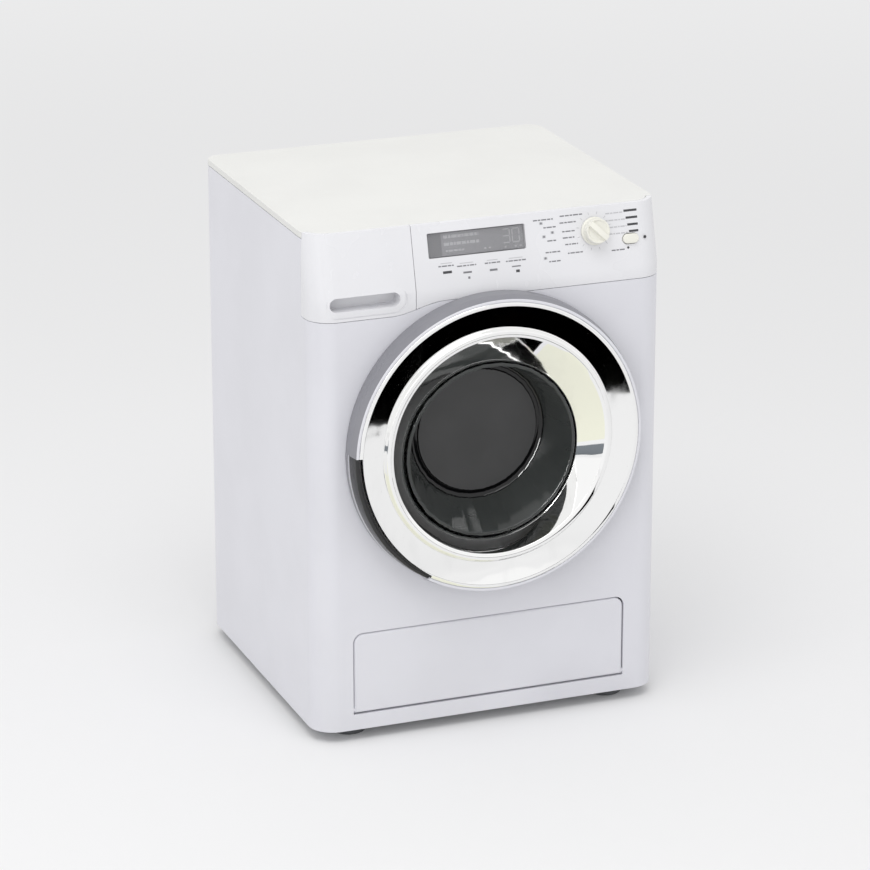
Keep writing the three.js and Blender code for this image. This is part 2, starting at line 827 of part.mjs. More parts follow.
// Drawer front with its grip pocket, cut from the same leaning wall as the panel.
function makeDrawerFront() {
  const low = drawerLowZ + gripLift;
  const grip = (grow, y0, y1) =>
    plateY(
      roundedOutline(
        gripEndX - gripLength - grow,
        gripEndX + grow,
        low - grow,
        low + gripHeight + grow,
        gripHeight / 2 - gap + grow,
      ),
      y0,
      y1,
    );
  return fascia()
    .intersect(box(-width, drawerEdgeX, frontY - overrun, panelBackY, 0, 2 * height))
    .add(grip(trayWall, frontY + bite, frontY + gripDepth + trayWall))
    .subtract(grip(0, frontY - overrun, frontY + gripDepth));
}

function makeDrawerTray() {
  const left = housingLeft + trayWall + 2 * gap;
  const right = housingRight - trayWall - gap;
  const low = drawerLowZ + trayFloorLift;
  const front = frontY + gripDepth + trayWall + gap;
  const back = housingBackY - trayWall - gap;
  let tray = box(left, right, front, back, low, low + trayHeight).subtract(
    box(
      left + trayWall,
      right - trayWall,
      front + trayWall,
      back - trayWall,
      low + trayWall,
      low + trayHeight + overrun,
    ),
  );
  for (let i = 1; i <= trayDividers; i++) {
    const x = left + ((right - left) * i) / (trayDividers + 1);
    tray = tray.add(
      box(
        x - trayWall / 2,
        x + trayWall / 2,
        front + trayWall / 2,
        back - trayWall / 2,
        low + trayWall / 2,
        low + dividerHeight,
      ),
    );
  }
  return tray.intersect(block(wall + trayWall + gap, low - overrun, topUnderZ));
}

// Housing that guides the tray: open at the front and under the top plate, with a hole over the chute.
function makeDrawerHousing() {
  return box(housingLeft, housingRight, housingFrontY, housingBackY, housingLowZ, topUnderZ - gap)
    .subtract(
      box(
        housingLeft + trayWall,
        housingRight - trayWall,
        housingFrontY - overrun,
        housingBackY - trayWall,
        housingLowZ + trayWall,
        height,
      ),
    )
    .subtract(rodZ(chuteX, chuteY, chuteBore, housingLowZ - overrun, housingLowZ + overrun))
    .intersect(block(wall + gap, housingLowZ - overrun, topUnderZ + overrun));
}

function makeFillChute() {
  const low = doorZ;
  const outer = rodZ(chuteX, chuteY, chuteBore + chuteWall, low, housingLowZ - gap);
  return outer
    .subtract(rodZ(chuteX, chuteY, chuteBore, low - overrun, housingLowZ + overrun))
    .subtract(rodY(0, doorZ, tubRadius + gap, frontY, rearY, largeSteps));
}

// Chrome ring of the door: a sloping band, a bead inside it and a funnel that leans down to the bowl.
function makeDoorRing() {
  const outer = ringFrontRadius - ringRim + gap;
  const lipY = frontY - lipRise;
  const beadMiddle = (lipOuterRadius + lipRadius) / 2;
  const band = turned(
    [
      [outer, ringFrontY + chromeThickness],
      [outer, ringFrontY + gap],
      [outer - gap, ringFrontY],
      [outer - chromeThickness, ringFrontY],
      [lipOuterRadius, lipY],
      [beadMiddle, lipY - lipBead],
      [lipRadius, lipY],
      [lipRadius, lipY + chromeThickness],
      [lipOuterRadius, lipY + chromeThickness],
    ],
    0,
    doorZ,
    largeSteps,
  );
  const rear = frontY + bowlRimDepth;
  const start = [0, doorZ, lipRadius, lipY];
  const end = [0, doorZ - bowlRimDrop, bowlRimRadius, rear];
  const thicker = (circle, grow) => circle.map((value, i) => (i === 2 ? value + grow : value));
  const funnel = coneY(thicker(end, funnelWall), thicker(start, funnelWall));
  return band.add(funnel).subtract(coneY(end, start)).subtract(crescent(gap));
}

// The grip's crescent: inside its sector, outside a circle shifted away from it.
function crescent(grow) {
  const reach = ringRadius + overrun;
  const sector = [[0, doorZ]];
  for (let i = 0; i <= cornerSteps; i++) {
    const turn = crescentStart + ((crescentEnd - crescentStart) * i) / cornerSteps;
    sector.push([reach * Math.cos(turn), doorZ + reach * Math.sin(turn)]);
  }
  const shiftX = -crescentShift * Math.cos(crescentAim);
  const shiftZ = -crescentShift * Math.sin(crescentAim);
  const kept = ringRadius - crescentWidth + crescentShift - grow;
  return plateY(sector, ringFrontY - overrun, frontY + overrun).subtract(
    rodY(shiftX, doorZ + shiftZ, kept, ringFrontY - 2 * overrun, frontY + 2 * overrun, largeSteps),
  );
}

// The ring's flank from behind the chrome to the front wall, as a profile of [radius, y] points.
function flankProfile(grow) {
  return [
    [ringRadius - grow, frontY - gap],
    [ringRadius - grow, frontY - ringDepth / 2],
    [ringFrontRadius - grow, ringFrontY + gap],
  ];
}

// White back of the door: a channel that carries the chrome ring, with two hinge knuckles.
function makeDoorBack() {
  const backY = frontY - gap;
  const plateFrontY = backY - ringRim;
  const innerRadius = lipRadius + funnelWall + 2 * gap;
  const channel = turned(
    [
      ...flankProfile(0),
      [ringFrontRadius - ringRim + 2 * gap, ringFrontY + gap],
      [ringFrontRadius - ringRim, plateFrontY],
      [innerRadius + ringRim, plateFrontY],
      [innerRadius + ringRim, frontY - lipRise + chromeThickness + gap],
      [innerRadius, frontY - lipRise + chromeThickness + gap],
      [innerRadius, backY],
    ],
    0,
    doorZ,
    largeSteps,
  );
  const half = hingeLength / 2;
  const notch = box(
    hingeX - notchDepth,
    ringRadius + overrun,
    ringFrontY + notchFront,
    frontY + overrun,
    doorZ - half - gap,
    doorZ + half + gap,
  );
  let back = channel.subtract(notch).subtract(crescent(gap).intersect(gripCut()));
  for (const side of [-1, 1]) {
    const z0 = doorZ + (side * (earLength / 2 + gap));
    const z1 = doorZ + side * half;
    const low = Math.min(z0, z1);
    const high = Math.max(z0, z1);
    const arm = box(
      hingeX - notchDepth - bite - ringRim,
      hingeX,
      hingeY - knuckleRadius,
      frontY - 2 * gap,
      low,
      high,
    );
    back = back.add(arm).add(rodZ(hingeX, hingeY, knuckleRadius, low, high));
  }
  return back.subtract(rodZ(hingeX, hingeY, pinRadius + gap, doorZ - hingeLength, doorZ + hingeLength));
}

function makeHingePin() {
  const half = hingeLength / 2;
  return rodZ(hingeX, hingeY, pinRadius, doorZ - half, doorZ + half);
}

// Depth of the grip's cut into the door back.
function gripCut() {
  return box(-width, 0, ringFrontY - overrun, frontY - gripBackWall, 0, height);
}

// Dark lining of the finger grip.
function makeDoorGrip() {
  const ring = turned(
    [
      [ringRadius - 2 * gap, frontY - gripBackWall - gap],
      [ringFrontRadius - gap, ringFrontY + chromeThickness],
      [ringRadius - gripLining, ringFrontY + chromeThickness + gap],
      [ringRadius - gripLining, frontY - gripBackWall - gap],
    ],
    0,
    doorZ,
    largeSteps,
  );
  return ring.intersect(crescent(-gap).intersect(gripCut()));
}

// Smoked bowl: a leaning cone with a flat floor, open at the front.
function makeDoorBowl() {
  const rimZ = doorZ - bowlRimDrop;
  const floorZ = doorZ - bowlFloorDrop;
  const rimY = frontY + bowlRimDepth - bowlRimReach;
  const floorY = frontY + bowlFloorDepth;
  const rimRadius = bowlRimRadius - gap;
  const outer = coneY([0, floorZ, bowlFloorRadius + bowlWall, floorY], [0, rimZ, rimRadius, rimY]);
  const inner = coneY(
    [0, floorZ, bowlFloorRadius, floorY - bowlWall],
    [0, rimZ, rimRadius - bowlWall, rimY - gap],
  );
  return outer.subtract(inner);
}

function makeDoorLatch() {
  const half = latchWidth / 2;
  const reach = latchHeight / 2;
  const root = box(
    latchX - half,
    latchX + half,
    frontY,
    frontY + latchReach,
    doorZ - reach,
    doorZ + reach,
  );
  const foot = box(
    latchX - half,
    latchX + half,
    frontY - gap / 2,
    frontY + bite,
    doorZ - reach,
    doorZ + reach,
  );
  const nose = rodZ(latchX, frontY + latchReach - half, half + gap / 2, doorZ - reach, doorZ + reach);
  return root.add(foot).add(nose);
}

// Keeper behind the front wall that the latch snaps into.
function makeDoorCatch() {
  const half = latchWidth / 2 + 2 * gap;
  const reach = latchHeight / 2 + 2 * gap;
  const y0 = frontY + wall + gap;
  const y1 = frontY + latchReach + gap + catchWall;
  return box(
    latchX - half - catchWall,
    latchX + half + catchWall,
    y0,
    y1,
    doorZ - reach - catchWall,
    doorZ + reach + catchWall,
  ).subtract(
    box(latchX - half, latchX + half, y0 - overrun, y1 - catchWall + gap, doorZ - reach, doorZ + reach),
  );
}

// Tub: a water-tight can with a neck round its mouth, the bush in its rear wall and holes for the water.
function makeTub() {
  const frontWallY = frontY + tubFront;
  const neckY = frontWallY - tubNeck;
  const inner = tubRadius - tubWall;
  const can = turned(
    [
      [tubMouthRadius, neckY],
      [tubMouthRadius + tubWall, neckY],
      [tubMouthRadius + tubWall, frontWallY],
      [tubRadius, frontWallY],
      [tubRadius, tubRearY],
      [bushRadius + gap, tubRearY],
      [bushRadius + gap, tubRearY - tubWall],
      [inner, tubRearY - tubWall],
      [inner, frontWallY + tubWall],
      [tubMouthRadius, frontWallY + tubWall],
    ],
    0,
    doorZ,
    largeSteps,
  );
  return can
    .subtract(rodZ(chuteX, chuteY, chuteBore, doorZ, height))
    .subtract(rodY(drainX, drainZ, drainBore, tubRearY - tubWall - overrun, tubRearY + overrun));
}

// Soft seal between the front wall and the tub's neck, with a fold round it.
function makeDoorSeal() {
  const neckY = frontY + tubFront - tubNeck;
  const sleeve = tubMouthRadius + tubWall + gap;
  const outer = doorOpeningRadius - gap;
  const front = neckY - gap - sealLipThickness;
  const back = frontY + tubFront - gap;
  return turned(
    [
      [sealLipRadius, front],
      [outer, front],
      [outer, back],
      [sleeve, back],
      [sleeve, neckY - gap],
      [sealLipRadius, neckY - gap],
    ],
    0,
    doorZ,
    largeSteps,
  );
}

// Drum: a cup with a rolled-in front and a hub at the back.
function makeDrumShell() {
  const inner = drumRadius - drumWall;
  const bore = shaftRadius + shaftClearance;
  return turned(
    [
      [drumMouthRadius, drumFrontY],
      [drumRadius, drumFrontY],
      [drumRadius, drumRearY],
      [hubRadius, drumRearY],
      [hubRadius, drumRearY + hubLength],
      [bore, drumRearY + hubLength],
      [bore, drumRearY - drumWall],
      [inner, drumRearY - drumWall],
      [inner, drumFrontY + drumWall],
      [drumMouthRadius, drumFrontY + drumWall],
    ],
    0,
    doorZ,
    largeSteps,
  );
}

// One of the ribs that lift the washing.
function makeLifter(index) {
  const foot = Math.sqrt((drumRadius - drumWall) ** 2 - (lifterBase / 2) ** 2) - gap;
  const crest = foot - lifterHeight;
  const outline = [
    [-lifterBase / 2, foot],
    [lifterBase / 2, foot],
    [lifterCrest / 2, crest + lifterShoulder],
    [lifterTop / 2, crest],
    [-lifterTop / 2, crest],
    [-lifterCrest / 2, crest + lifterShoulder],
  ].map(([x, z]) => [x, -z]);
  const y0 = drumFrontY + drumWall + lifterInset;
  const y1 = drumRearY - drumWall - lifterInset;
  const turn = (360 * index) / lifters;
  return plateY(outline, y0, y1).rotate([0, turn, 0]).translate([0, 0, doorZ]);
}

function makeDrumShaft() {
  return rodY(0, doorZ, shaftRadius, drumRearY - drumWall, shaftEndY, mediumSteps);
}

function makeDrumBush() {
  const bore = shaftRadius + shaftClearance;
  return turned(
    [
      [bore, tubRearY - tubWall],
      [bushRadius, tubRearY - tubWall],
      [bushRadius, tubRearY + gap],
      [bushFlange, tubRearY + gap],
      [bushFlange, tubRearY + gap + bushFlangeThickness],
      [bore, tubRearY + gap + bushFlangeThickness],
    ],
    0,
    doorZ,
    mediumSteps,
  );
}

// A spur gear about the origin, its first tooth at the phase angle.
function spurGear(teeth, phase, y0, y1) {
  const pitchRadius = (toothModule * teeth) / 2;
  const tip = pitchRadius + toothModule * tipHeightShare;
  const root = pitchRadius - toothModule * rootDepthShare;
  const step = (2 * Math.PI) / teeth;
  const outline = [];
  for (let i = 0; i < teeth; i++) {
    const middle = phase + i * step;
    const corners = [
      [root, -toothRootShare],
      [tip, -toothTipShare],
      [tip, toothTipShare],
      [root, toothRootShare],
    ];
    for (const [radius, share] of corners) {
      const turn = middle + (share * step) / 2;
      outline.push([radius * Math.cos(turn), radius * Math.sin(turn)]);
    }
  }
  return plateY(outline, y0, y1);
}

function makeDrumGear() {
  return spurGear(gearTeeth, meshAngle, gearY, gearY + gearThickness)
    .translate([0, 0, doorZ])
    .subtract(
      rodY(0, doorZ, shaftRadius + shaftClearance, gearY - overrun, gearY + 2 * overrun, mediumSteps),
    );
}

// Pinion and the motor's shaft in one piece.
function makeMotorPinion() {
  const phase = meshAngle + Math.PI - Math.PI / pinionTeeth;
  return spurGear(pinionTeeth, phase, gearY, gearY + gearThickness)
    .translate([motorX, 0, motorZ])
    .add(
      rodY(
        motorX,
        motorZ,
        motorShaftRadius,
        gearY + bite,
        mountY + mountThickness + motorShaftDepth,
      ),
    );
}

function makeMotorCan() {
  const y0 = mountY + mountThickness + gap;
  return rodY(motorX, motorZ, motorRadius, y0, y0 + motorLength, mediumSteps)
    .add(rodY(motorX, motorZ, motorTailRadius, y0 + motorLength - bite, y0 + motorLength + bite))
    .subtract(rodY(motorX, motorZ, motorShaftRadius + gap, y0 - overrun, y0 + motorShaftDepth));
}

// Motor plate: a sector behind the gear, on posts that stand on the tub's rear wall.
function makeMotorMount() {
  const outline = [];
  const arc = (radius, from, to) => {
    for (let i = 0; i <= seamSteps; i++) {
      const turn = from + ((to - from) * i) / seamSteps;
      outline.push([radius * Math.cos(turn), doorZ + radius * Math.sin(turn)]);
    }
  };
  arc(mountOuterRadius, meshAngle - mountHalfAngle, meshAngle + mountHalfAngle);
  arc(mountInnerRadius, meshAngle + mountHalfAngle, meshAngle - mountHalfAngle);
  const plateBackY = mountY + mountThickness;
  const collarEnd = plateBackY + mountCollar;
  const collar = (radius, y0, y1) => rodY(motorX, motorZ, radius, y0, y1, mediumSteps);
  let mount = plateY(outline, mountY, plateBackY)
    .add(collar(motorRadius + mountCollarWall, mountY, collarEnd))
    .subtract(collar(motorRadius + gap, plateBackY, collarEnd + overrun))
    .subtract(rodY(motorX, motorZ, motorNoseRadius, mountY - overrun, collarEnd));
  const postTurn = mountHalfAngle - (2 * postRadius) / mountOuterRadius;
  for (const side of [-1, 0, 1]) {
    const turn = meshAngle + side * postTurn;
    mount = mount.add(
      rodY(
        postReach * Math.cos(turn),
        doorZ + postReach * Math.sin(turn),
        postRadius,
        tubRearY + gap,
        mountY + bite,
      ),
    );
  }
  return mount;
}

// Spout that leads the water from the tub to the back, and the plug that closes it.
function makeDrainSpout() {
  const radius = drainBore + drainWall;
  const pipe = rodY(drainX, drainZ, radius, tubRearY + gap, drainSeatY + drainWall, mediumSteps);
  return pipe.subtract(rodY(drainX, drainZ, drainBore, tubRearY - overrun, rearY + overrun));
}

function makeDrainPlug() {
  const headY = drainSeatY + drainWall + gap;
  const tab = box(
    drainX - plugTabWidth / 2,
    drainX + plugTabWidth / 2,
    headY + plugHeadThickness - bite,
    rearY,
    drainZ - drainWall / 2,
    drainZ + drainWall / 2,
  );
  return rodY(drainX, drainZ, plugHeadRadius, headY, headY + plugHeadThickness, mediumSteps)
    .add(rodY(drainX, drainZ, drainBore - gap, headY - plugStemLength, headY + bite))
    .add(tab);
}

// The battery door's outline as a plate.
function bayDoorPlate(grow, y0, y1) {
  const half = bayDoorHalf + grow;
  const outline = roundedOutline(-half, half, bayDoorLow - grow, bayDoorHigh + grow, coverThickness);
  return plateY(outline, y0, y1);
}

// Rear cover with its inner lip, battery opening, grille, switch slot, drain pocket and screw seats.
function makeRearCover() {
  const lipInset = wall + gap;
  const lipLow = footHeight + trayPlate + 2 * gap;
  const lipX = halfWidth - lipInset - coverLip;
  const lip = block(lipInset, lipLow, topUnderZ - gap)
    .subtract(box(-lipX, lipX, frontY, rearY, 0, height))
    .intersect(halfSpaceRear(coverY - coverLipDepth));
  const pocket = rodY(
    drainX,
    drainZ,
    drainPocketRadius + drainWall,
    drainSeatY - drainWall,
    rearY - bite,
    mediumSteps,
  );
  const spoutHole = drainBore + drainWall + gap;
  let cover = block(0, footHeight, topUnderZ - gap)
    .intersect(halfSpaceRear(coverY))
    .add(lip)
    .subtract(bayDoorPlate(gap, coverY - overrun, rearY + overrun))
    .add(pocket)
    .subtract(rodY(drainX, drainZ, drainPocketRadius, drainSeatY, rearY + overrun, mediumSteps))
    .subtract(rodY(drainX, drainZ, spoutHole, drainSeatY - 2 * overrun, rearY, mediumSteps));
  for (let i = 0; i < grilleSlots; i++) {
    const z = speakerZ + (i - (grilleSlots - 1) / 2) * grillePitch;
    const reach = Math.sqrt((speakerRadius - grilleSlot) ** 2 - (z - speakerZ) ** 2);
    cover = cover.subtract(
      box(
        speakerX - reach,
        speakerX + reach,
        coverY - 2 * overrun,
        rearY + overrun,
        z - grilleSlot / 2,
        z + grilleSlot / 2,
      ),
    );
  }
  cover = cover.subtract(
    box(
      powerX - (powerKnob + powerTravel) / 2 - gap,
      powerX + (powerKnob + powerTravel) / 2 + gap,
      coverY - overrun,
      rearY + overrun,
      powerZ - powerKnobHeight / 2 - gap,
      powerZ + powerKnobHeight / 2 + gap,
    ),
  );
  for (const side of [-1, 1])
    for (const z of [screwLowZ, screwHighZ]) {
      const half = bossRadius + gap;
      const inner = side * (screwX - half);
      const outer = side * width;
      const room = box(
        Math.min(inner, outer),
        Math.max(inner, outer),
        coverY - 2 * overrun,
        coverY,
        z - half,
        z + half,
      );
      cover = cover.subtract(room).subtract(screwSeat(side * screwX, z));
    }
  return cover;
}

// Battery bay: a tray open to the back, with a boss for the screw of its door.
function makeBatteryBox() {
  const back = coverY - gap;
  const front = back - 2 * cellRadius - bayWall - 2 * gap;
  const bossEnd = back - screwLength + gap;
  const boss = rodY(0, bayScrewZ, bossRadius - gap, bossEnd, back).add(
    box(-bayWall, bayWall, bossEnd, back, bayHighZ - bite, bayScrewZ - screwShank - gap),
  );
  return box(-bayHalf, bayHalf, front, back, bayLowZ, bayHighZ)
    .subtract(
      box(
        -bayHalf + bayWall,
        bayHalf - bayWall,
        front + bayWall,
        back + overrun,
        bayLowZ + bayWall,
        bayHighZ - bayWall,
      ),
    )
    .add(boss)
    .subtract(rodY(0, bayScrewZ, screwShank + gap, bossEnd + gap + bayWall, back + overrun));
}

// A cell stands upright, its button up or down by turns.
function makeCell(index) {
  const x = (index - (cells - 1) / 2) * cellSpace;
  const y = coverY - 2 * gap - cellRadius;
  const low = bayLowZ + bayWall + contactThickness + 2 * gap;
  const up = index % 2 === 0;
  const canLow = up ? low : low + cellButton;
  const nose = up ? low + cellLength - 2 * cellButton : low;
  return rodZ(x, y, cellRadius, canLow, canLow + cellLength - cellButton, mediumSteps).add(
    rodZ(x, y, cellButtonRadius, nose, nose + 2 * cellButton),
  );
}

function makeContact(high) {
  const z = high ? bayHighZ - bayWall - gap - contactThickness : bayLowZ + bayWall + gap;
  const half = bayHalf - bayWall - gap;
  const y = coverY - 2 * gap - cellRadius;
  return box(-half, half, y - contactWidth / 2, y + contactWidth / 2, z, z + contactThickness);
}

function makeBatteryDoor() {
  return bayDoorPlate(0, coverY, rearY).subtract(screwSeat(0, bayScrewZ));
}

// Loudspeaker: a flange against the grille, a basket and a magnet.
function makeSpeaker() {
  const back = coverY - gap;
  return turned(
    [
      [0, back - speakerDepth],
      [magnetRadius, back - speakerDepth],
      [magnetRadius, back - basketDepth],
      [speakerRadius - speakerFlange, back - speakerFlange],
      [speakerRadius, back - speakerFlange],
      [speakerRadius, back],
      [speakerRadius - speakerFlange, back],
      [magnetRadius, back - coneDepth],
      [0, back - coneDepth],
    ],
    speakerX,
    speakerZ,
    mediumSteps,
  );
}

// Power switch: its body behind the cover has a channel that the slider runs in.
function powerBox(marginX, marginZ, y0, y1) {
  const a = (powerKnob + powerTravel) / 2 + marginX;
  const b = powerKnobHeight / 2 + marginZ;
  return box(powerX - a, powerX + a, y0, y1, powerZ - b, powerZ + b);
}

function makePowerSwitch() {
  const back = coverY - gap;
  return powerBox(powerEndMargin, powerEdgeMargin, back - powerBodyDepth, back).subtract(
    powerBox(gap, gap, back - powerChannelDepth, back + overrun),
  );
}

function makePowerSlider() {
  const left = powerX - (powerKnob + powerTravel) / 2;
  const y0 = coverY - powerChannelDepth;
  return box(
    left,
    left + powerKnob,
    y0,
    rearY - gap,
    powerZ - powerKnobHeight / 2,
    powerZ + powerKnobHeight / 2,
  );
}

// Service flap with a pivot pin at each end of its lower edge.
function makeServiceFlap() {
  const half = flapWidth / 2;
  const pinY = frontY + flapThickness / 2;
  const pinZ = flapLowZ + flapThickness / 2;
  const outline = archedOutline(-half, half, flapLowZ, flapHighZ, flapCorner);
  return plateY(outline, frontY, frontY + flapThickness).add(
    rodX(pinY, pinZ, flapPinRadius, -half - flapPinReach, half + flapPinReach),
  );
}

// Base tray: closes the cabinet from below and carries the tub on two saddles.
function makeBaseTray() {
  const low = footHeight;
  const saddleHighZ = doorZ - saddleHighShare * tubRadius;
  const bayRoom = bayHalf + gap;
  let tray = block(wall + gap, low, low + trayPlate).subtract(halfSpaceRear(coverY - gap));
  for (const y of [saddleFrontY, saddleRearY]) {
    tray = tray.add(
      box(-saddleHalfWidth, saddleHalfWidth, y, y + saddleThickness, low + bite, saddleHighZ),
    );
  }
  tray = tray
    .subtract(rodY(0, doorZ, tubRadius + gap, frontY, rearY, largeSteps))
    .subtract(box(-bayRoom, bayRoom, saddleRearY + 2 * overrun, rearY, low + trayPlate, bayHighZ));
  for (const [x, y] of footPlaces()) {
    tray = tray.subtract(rodZ(x, y, footPegRadius + gap, low - overrun, low + trayPlate + overrun));
  }
  return tray;
}

function footPlaces() {
  const front = frontY + footInset;
  const rear = rearY - footInset;
  return [
    [-footX, front],
    [footX, front],
    [-footX, rear],
    [footX, rear],
  ];
}

function makeFoot([x, y]) {
  return rodZ(x, y, footRadius, 0, footHeight - gap, mediumSteps).add(
    rodZ(x, y, footPegRadius, footHeight - bite, footHeight + trayPlate),
  );
}

// Cabinet
add("front_shell", "white", makeFrontShell());
add("top_plate", "cream", makeTopPlate());
add("rear_cover", "white", makeRearCover());
add("base_tray", "lightGrey", makeBaseTray());
const footNames = ["foot_front_left", "foot_front_right", "foot_rear_left", "foot_rear_right"];
footPlaces().forEach((place, i) => add(footNames[i], "rubber", makeFoot(place)));
const screwNames = [
  ["cover_screw_low_left", "cover_screw_high_left"],
  ["cover_screw_low_right", "cover_screw_high_right"],
];
[-1, 1].forEach((side, i) =>
  [screwLowZ, screwHighZ].forEach((z, j) => add(screwNames[i][j], "steel", makeScrew(side * screwX, z))),
);

// Controls
add("control_panel", "panelWhite", makeControlPanel());
const [lens, card] = makeDisplay();
add("display_lens", "smoke", lens);
add("display_card", "lcd", card);
add("program_dial", "cream", makeDial());
add("rotary_switch", "darkGrey", makeRotarySwitch());
add("start_button", "panelWhite", makeStartButton());
add("start_switch", "darkGrey", makeStartSwitch());
add("circuit_board", "green", makeCircuitBoard());

// Detergent drawer and water
add("drawer_front", "panelWhite", makeDrawerFront());
add("drawer_tray", "white", makeDrawerTray());
add("drawer_housing", "lightGrey", makeDrawerHousing());
add("fill_chute", "lightGrey", makeFillChute());
add("drain_spout", "lightGrey", makeDrainSpout());
add("drain_plug", "rubber", makeDrainPlug());

// Door
add("door_ring", "chrome", makeDoorRing());
add("door_back", "white", makeDoorBack());
add("door_grip", "black", makeDoorGrip());
add("door_bowl", "smoke", makeDoorBowl());
add("door_latch", "white", makeDoorLatch());
add("door_catch", "lightGrey", makeDoorCatch());
add("hinge_pin", "steel", makeHingePin());

// Tub and drum
add("tub", "lightGrey", makeTub());
add("door_seal", "rubber", makeDoorSeal());
add("drum_shell", "steel", makeDrumShell());
for (let i = 0; i < lifters; i++) add("drum_lifter_" + (i + 1), "lightGrey", makeLifter(i));
add("drum_shaft", "steel", makeDrumShaft());
add("drum_bush", "brass", makeDrumBush());

// Drive
add("drum_gear", "cream", makeDrumGear());
add("motor_pinion", "brass", makeMotorPinion());
add("motor_can", "steel", makeMotorCan());
add("motor_mount", "lightGrey", makeMotorMount());

// Power and sound
add("battery_box", "darkGrey", makeBatteryBox());
for (let i = 0; i < cells; i++) add("battery_cell_" + (i + 1), "cell", makeCell(i));
add("battery_contact_high", "steel", makeContact(true));
add("battery_contact_low", "steel", makeContact(false));
add("battery_door", "white", makeBatteryDoor());
add("battery_door_screw", "steel", makeScrew(0, bayScrewZ));
add("speaker", "darkGrey", makeSpeaker());
add("power_switch", "darkGrey", makePowerSwitch());
add("power_slider", "black", makePowerSlider());

// Service flap
add("service_flap", "white", makeServiceFlap());

export default machine;
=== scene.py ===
# A toy front loader: white cabinet, mirror-chromed door ring, smoked bowl, slanted control panel.
import json
from math import atan2, cos, hypot, pi, radians, sin, sqrt, tan

import bpy
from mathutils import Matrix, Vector


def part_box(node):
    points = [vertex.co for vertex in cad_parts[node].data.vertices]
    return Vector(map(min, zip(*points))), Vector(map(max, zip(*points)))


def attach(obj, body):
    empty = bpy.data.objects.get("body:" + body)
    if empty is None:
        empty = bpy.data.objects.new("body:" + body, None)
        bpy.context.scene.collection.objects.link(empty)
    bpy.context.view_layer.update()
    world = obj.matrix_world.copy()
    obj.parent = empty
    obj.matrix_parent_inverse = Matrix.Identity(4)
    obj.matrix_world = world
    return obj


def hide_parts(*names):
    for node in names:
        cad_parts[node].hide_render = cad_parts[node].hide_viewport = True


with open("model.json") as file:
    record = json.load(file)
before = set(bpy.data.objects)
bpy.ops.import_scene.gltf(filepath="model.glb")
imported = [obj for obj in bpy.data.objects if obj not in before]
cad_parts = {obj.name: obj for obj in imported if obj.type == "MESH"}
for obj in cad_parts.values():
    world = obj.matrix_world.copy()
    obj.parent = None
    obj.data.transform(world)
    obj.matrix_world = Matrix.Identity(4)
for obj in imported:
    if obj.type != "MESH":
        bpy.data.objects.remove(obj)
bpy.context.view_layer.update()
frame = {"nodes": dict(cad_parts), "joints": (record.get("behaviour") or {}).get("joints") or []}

mm = 0.001
speck = mm / 1000                     # a centre that closes to a point
near = mm / 50                        # places closer than this count as one
nodes = frame["nodes"]
joints = {joint["name"]: joint for joint in frame["joints"]}
print("frame loaded:", len(nodes), "nodes")

# Sizes that several pieces share, in metres, taken from the frame where it holds them
shellLow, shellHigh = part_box("front_shell")
topLow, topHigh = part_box("top_plate")
coverLow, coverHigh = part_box("rear_cover")
flapLow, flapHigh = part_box("service_flap")
drumLow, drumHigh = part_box("drum_shell")
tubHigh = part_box("tub")[1]
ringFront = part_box("door_ring")[0].y


# Sizes given in millimetres, alone or in groups
def inMm(*sizes):
    return [inMm(*size) if isinstance(size, tuple) else size * mm for size in sizes]


def middleOfNode(name):
    return sum(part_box(name), Vector()) / 2


cabinet = {
    "halfWidth": topHigh.x,
    "frontY": flapLow.y,          # plane of the front wall
    "rearY": coverHigh.y,
    "top": topHigh.z,
    "frontCorner": 13 * mm,
    "rearCorner": 8 * mm,
    "wall": 2.5 * mm,
    "gap": 0.3 * mm,              # between touching pieces
    "slant": radians(15),         # lean of the control panel
    "panelRise": 31 * mm,         # the lean starts this far below the top
    "softEdge": 0.5 * mm,         # moulded edge radius
    "over": 5 * mm,               # cutters reach this far past what they cut
    "cornerSteps": 14,
}
gap, over = cabinet["gap"], cabinet["over"]
frontY, rearY = cabinet["frontY"], cabinet["rearY"]
bendZ = cabinet["top"] - cabinet["panelRise"]
doorCentre = Vector((0, 0, middleOfNode("door_back").z))
far = 2 * cabinet["top"]              # well outside the toy


# Where the front lies at a height
def frontAt(z):
    return frontY + max(0, z - bendZ) * tan(cabinet["slant"])


# Point on the leaning panel, given across, up from the bend, and out of the panel
def panelPoint(x, lift, out=0.0):
    z = bendZ + lift
    return Vector((x, frontAt(z) - out * cos(cabinet["slant"]), z + out * sin(cabinet["slant"])))


